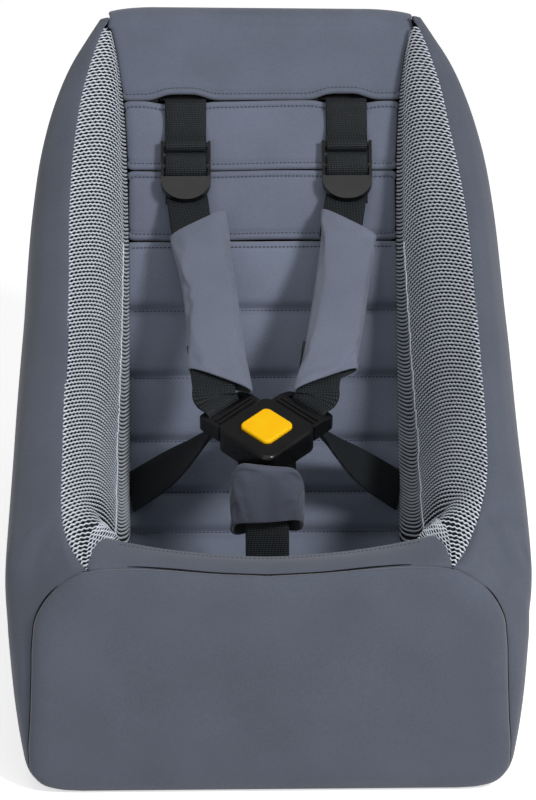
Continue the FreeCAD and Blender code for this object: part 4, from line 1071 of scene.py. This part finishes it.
def shoulder_loop(side):
    """Doubled webbing out of the top slit and round the ladder lock's upper bar, sewn by two rows."""
    x = SHOULDER_AT[side]
    path = [(292.6, -10.2), (286, -10.2), (283, -8.5), (283, -2), (282.6, 1.6), (280.6, 3.0), (275, 3.0),
            (267, 2.9), (260, 4.4)]
    path += bend(254, 4, 3.0, 70, 270)
    path += [(259, 1.1), (266, 1.2)]
    line = through([on_back(x, up, lift) for up, lift in path], 90)
    woven(line, (1.0, 0, 0), f"shoulder_loop_strap_{side}", f"shoulder_loop_{side}")
    first_row, second_row = 263.5, 261.3
    for up in (first_row, second_row):
        ends = on_back([x - 11.5, x + 11.5], up, 3.0 + 0.85 + (first_row - up) * 0.12)
        black_stitches.append((np.linspace(ends[0], ends[1], 20), (0, -COS, SIN)))


def harness_strap(side, sign):
    """Upper run round the ladder lock's grip bar, lower run into the tongue, waist run to the hip seam."""
    low, high, up, across = strap_line(side, sign)
    x = SHOULDER_AT[side]
    node = f"harness_strap_{side}"
    grip = [(218.5, 1.7), (228, 1.7), (236, 1.72), (242, 1.72)] + bend(245.2, 5, 3.3, -90, 95, 12)
    grip += [(240.5, 8.2), (237.2, 7), (234.6, 5), (231, 4.3)]
    line = [on_back(x, at, lift) for at, lift in grip]
    line += [high, high - up * 12, high - up * 24, high - up * 40]
    line = through(line, 110)
    past_grip = np.arange(len(line))[:, None] >= 70
    piece = woven(line, np.where(past_grip, across, (1.0, 0, 0)), f"upper_strap_{side}", node, body=None)
    tuple(place(high + up * 2))
    tuple(place(high - up * 16))
    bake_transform(piece)

    edge = tongue_edge(sign)
    turn = [(low + up * at, across) for at in (40, 22, 9)]
    turn += [(in_tongue(sign, 41.6, 12.6), 0.55 * across + 0.45 * edge * sign)]
    turn += [(in_tongue(sign, along, over), edge * sign)
             for along, over in ((38.2, 12.2), (35.6, 11.2), (34.2, 8.8), (34, 5.5), (34, 1.5))]
    piece = woven(*twisted(turn), f"lower_strap_{side}", node, body=None)
    tuple(place(low + up * 22))
    tuple(place(in_tongue(sign, 39.5, 12.2)))
    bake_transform(piece)

    start = in_tongue(sign, 34, 1.0)
    hip = on_back(sign * 80.6, 42, 6)
    out = unit(hip - start)
    rise = -np.array((0, SIN, COS))
    turn = [(in_tongue(sign, 34, 5), edge), (start, edge),
            (start + out * 9 - (0, 0, 3.6), edge + 0.2 * rise),
            (start + out * 24 - (0, 0, 4.2), edge + 0.7 * rise),
            (start + out * 42 - (0, 0, 4.6), 0.6 * edge + rise),
            (start + out * 58 - (0, 0, 3.6), 0.25 * edge + rise), (hip, rise)]
    piece = woven(*twisted(turn), f"waist_strap_{side}", node, body=None)
    tuple(place(start))
    tuple(place(start + out * 30))
    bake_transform(piece)


def tube(rings):
    """A tube through rings of places, with its flat size as UV map."""
    rings = np.asarray(rings, float)
    rows, cols = rings.shape[:2]
    down, across = spans(np.concatenate([rings, rings[:, :1]], 1))
    flat = np.stack([across, down], -1)
    corners = [flat[r + dr, c + dc] for r in range(rows - 1) for c in range(cols)
               for dr, dc in ((0, 0), (0, 1), (1, 1), (1, 0))]
    return new_piece("tube", rings.reshape(-1, 3), wall(rows, cols), np.asarray(corners))


def inflate(piece, held, cap, frames=20):
    """Blow up a soft piece by cloth simulation: held points stay, each move is capped in millimetres."""
    group = piece.vertex_groups.new(name="held")
    group.add([int(i) for i in np.flatnonzero(held)], 1.0, "REPLACE")
    rest = np.array([v.co for v in piece.data.vertices])
    cloth = piece.modifiers.new("Cloth", "CLOTH")
    for name, setting in (("quality", 6), ("mass", 0.2), ("tension_stiffness", 12),
                          ("compression_stiffness", 12), ("shear_stiffness", 6),
                          ("bending_stiffness", 0.6), ("vertex_group_mass", "held"), ("use_pressure", True),
                          ("uniform_pressure_force", 5), ("shrink_min", -0.02)):
        setattr(cloth.settings, name, setting)
    cloth.settings.effector_weights.gravity = 0
    cloth.point_cache.frame_start = 1
    cloth.point_cache.frame_end = frames
    scene = bpy.context.scene
    for frame_number in range(1, frames + 1):
        scene.frame_set(frame_number)
    settled = piece.evaluated_get(bpy.context.evaluated_depsgraph_get())
    swollen = np.array([v.co for v in settled.to_mesh().vertices])
    settled.to_mesh_clear()
    piece.modifiers.remove(cloth)
    piece.vertex_groups.clear()
    scene.frame_set(1)
    move = swollen - rest
    far = np.linalg.norm(move, axis=1, keepdims=True)
    move *= np.minimum(1, cap / 1000 / np.maximum(far, 1e-9))
    piece.data.vertices.foreach_set("co", (rest + move).reshape(-1))
    piece.data.update()


def sleeve(ring, hem, bows, shares, low_ends, high_ends, cap):
    """A sleeve of cloth rings: its hemmed ends are held while its middle is blown up."""
    low = [ring(0, 2 * hem, deep) for deep in low_ends]
    low += [ring(0, hem * (1 + math.cos(bow)), hem * (1 - math.sin(bow)))
            for bow in np.linspace(0, math.pi, bows)]
    middle = [ring(share, 0, 0) for share in shares]
    high = [ring(1, hem * (1 + math.cos(bow)), -hem * (1 - math.sin(bow)))
            for bow in np.linspace(math.pi, 0, bows)]
    high += [ring(1, 2 * hem, -deep) for deep in high_ends]
    rings = low + middle + high
    held = np.repeat([True, False, True], [len(low), len(middle), len(high)])
    around = len(rings[0])
    piece = tube(rings)
    inflate(piece, np.repeat(held, around), cap)
    settle(piece, "SUBSURF", levels=1, render_levels=1)
    return piece, around, len(rings)


def shade_sleeve_ends(piece, around, rings, deep=5):
    """Painted shade in the turned-in ends of a sleeve: their inner faces take the dark base cloth, after one
    subdivision.
    """
    # Painted shade: the dark base cloth goes on the inner faces of the end rows.
    piece.data.materials.append(BASE_CLOTH)
    row = np.arange(len(piece.data.polygons)) // 4 // around
    inside = (row < deep) | (row >= rings - 1 - deep)
    piece.data.polygons.foreach_set("material_index", inside.astype(np.int32))


def squared(wave, power):
    """A wave with flatter crests, for outlines between round and square."""
    return np.sign(wave) * np.abs(wave) ** power


def shoulder_pad(side, sign):
    """A soft sleeve with slanted, hemmed ends, longer on its inner edge."""
    low, high, up, across = strap_line(side, sign)
    out = np.cross(across, up)
    long = np.linalg.norm(high - low) - 40
    turn = np.linspace(0, 2 * math.pi, 56, endpoint=False)
    wide, thick = 18, 4.6
    a = 17.8 * squared(np.cos(turn), 0.6)
    h = thick * squared(np.sin(turn), 0.75)
    low_slant, high_slant = 10 * a / wide * -sign, 8.2 * a / wide * -sign
    lean = np.array((4.2, 0, 0))

    def ring(share, inset, reach):
        along = 13 - low_slant + (long - 1.5 + low_slant + high_slant) * share + reach
        sway = 1.2 * math.sin(math.pi * share)
        return (low + lean + up * along[:, None] + across * (a * (1 - inset / wide) + sway)[:, None]
                + out * (h * (1 - inset / thick))[:, None])

    shares = np.linspace(0.025, 0.975, 44)
    piece, around, rings = sleeve(ring, 0.8, 7, shares, (14, 8, 4), (4, 8, 14), cap=1.8)
    finish_piece(piece, f"shoulder_sleeve_{side}", PAD,
                 stands_for=[f"shoulder_pad_{side}"])
    # Painted shade inside the sleeve's open ends.
    shade_sleeve_ends(piece, around, rings)


def crotch_pieces():
    """Strap up from the seat to the buckle's lug, with a soft hooded sleeve round it."""
    path = [(89.6, 9.8), (89.6, 5.2), (88, 4.2), (82, 4.2), (80, 6), (80, 20), (80, 50), (80.4, 66),
            (82.5, 80), (88, 113)]
    _, y, z = BUCKLE_AT
    path += [(y - f * math.cos(TILT) - u * math.sin(TILT), z - f * math.sin(TILT) + u * math.cos(TILT))
             for f, u in ((25.1, -8), (25.1, -3.2), (24, -1.8), (22, -1.5), (20, -1.8), (18.9, -3.2),
                          (18.9, -10), (18.9, -13))]
    woven(through([(0, y, z) for y, z in path], 150), (1.0, 0, 0), "crotch_webbing", "crotch_strap")

    turn = np.linspace(0, 2 * math.pi, 60, endpoint=False)
    wide, thick = 21.3, 9.6
    a = wide * squared(np.cos(turn), 0.72)
    d = thick * squared(np.sin(turn), 0.85)
    front = ease(-np.sin(turn), -0.75, 0.95)
    low_z = 116.5 + 14 * front + 0.06 * a
    high_z = 133.5 + 32 * front - 0.1 * a

    def ring(share, inset, reach):
        z = low_z + (high_z - low_z) * share + reach
        y = 91.2 + d * (1 - inset / thick) - 1.4 * front * np.sin(math.pi * share) + (z - 140) * 0.05
        return xyz(a * (1 - inset / wide), y, z)

    piece, around, rings = sleeve(ring, 1.0, 8, np.linspace(0.04, 0.93, 26), (9, 5, 2.5), (2.5, 5), cap=1.6)
    finish_piece(piece, "crotch_sleeve", CROTCH, stands_for=["crotch_pad"])
    # Painted shade inside the sleeve's open ends.
    shade_sleeve_ends(piece, around, rings)


def belt_loops():
    """Webbing sewn flat at its ends on the rear face and standing off it between them."""
    stands_off = ((-70, 0.8), (-58, 0.8), (-46, 1.0), (-40, 3.4), (-32, 5), (0, 5.2), (32, 5), (40, 3.4),
                  (46, 1.0), (58, 0.8), (70, 0.8))
    for name, node, up in (("lower_belt_loop", "rear_belt_loop_low", 90),
                           ("upper_belt_loop", "rear_belt_loop_high", 250)):
        spots = [on_rear(x, up, off) for x, off in stands_off]
        woven(through(spots, 70), (0, REAR_SLOPE, 1.0), name, node)


for side, sign in SIDES.items():
    shoulder_loop(side)
    harness_strap(side, sign)
    shoulder_pad(side, sign)
crotch_pieces()
belt_loops()
finish_piece(stitch_mesh(black_stitches), "loop_stitches", BLACK_THREAD)

for material, names in (
        (FOAM, ["front_foam", "seat_foam", "back_foam", "side_foam_left", "side_foam_right"]),
        (BLACK, ["buckle_housing", "buckle_base", "tongue_left", "tongue_right", "ladder_lock_left",
                 "ladder_lock_right", "strap_keeper_left", "strap_keeper_right", "crotch_keeper"]),
        (YELLOW, ["release_button"]), (STEEL, ["button_spring"])):
    for name in names:
        nodes[name].data.materials.clear()
        nodes[name].data.materials.append(material)
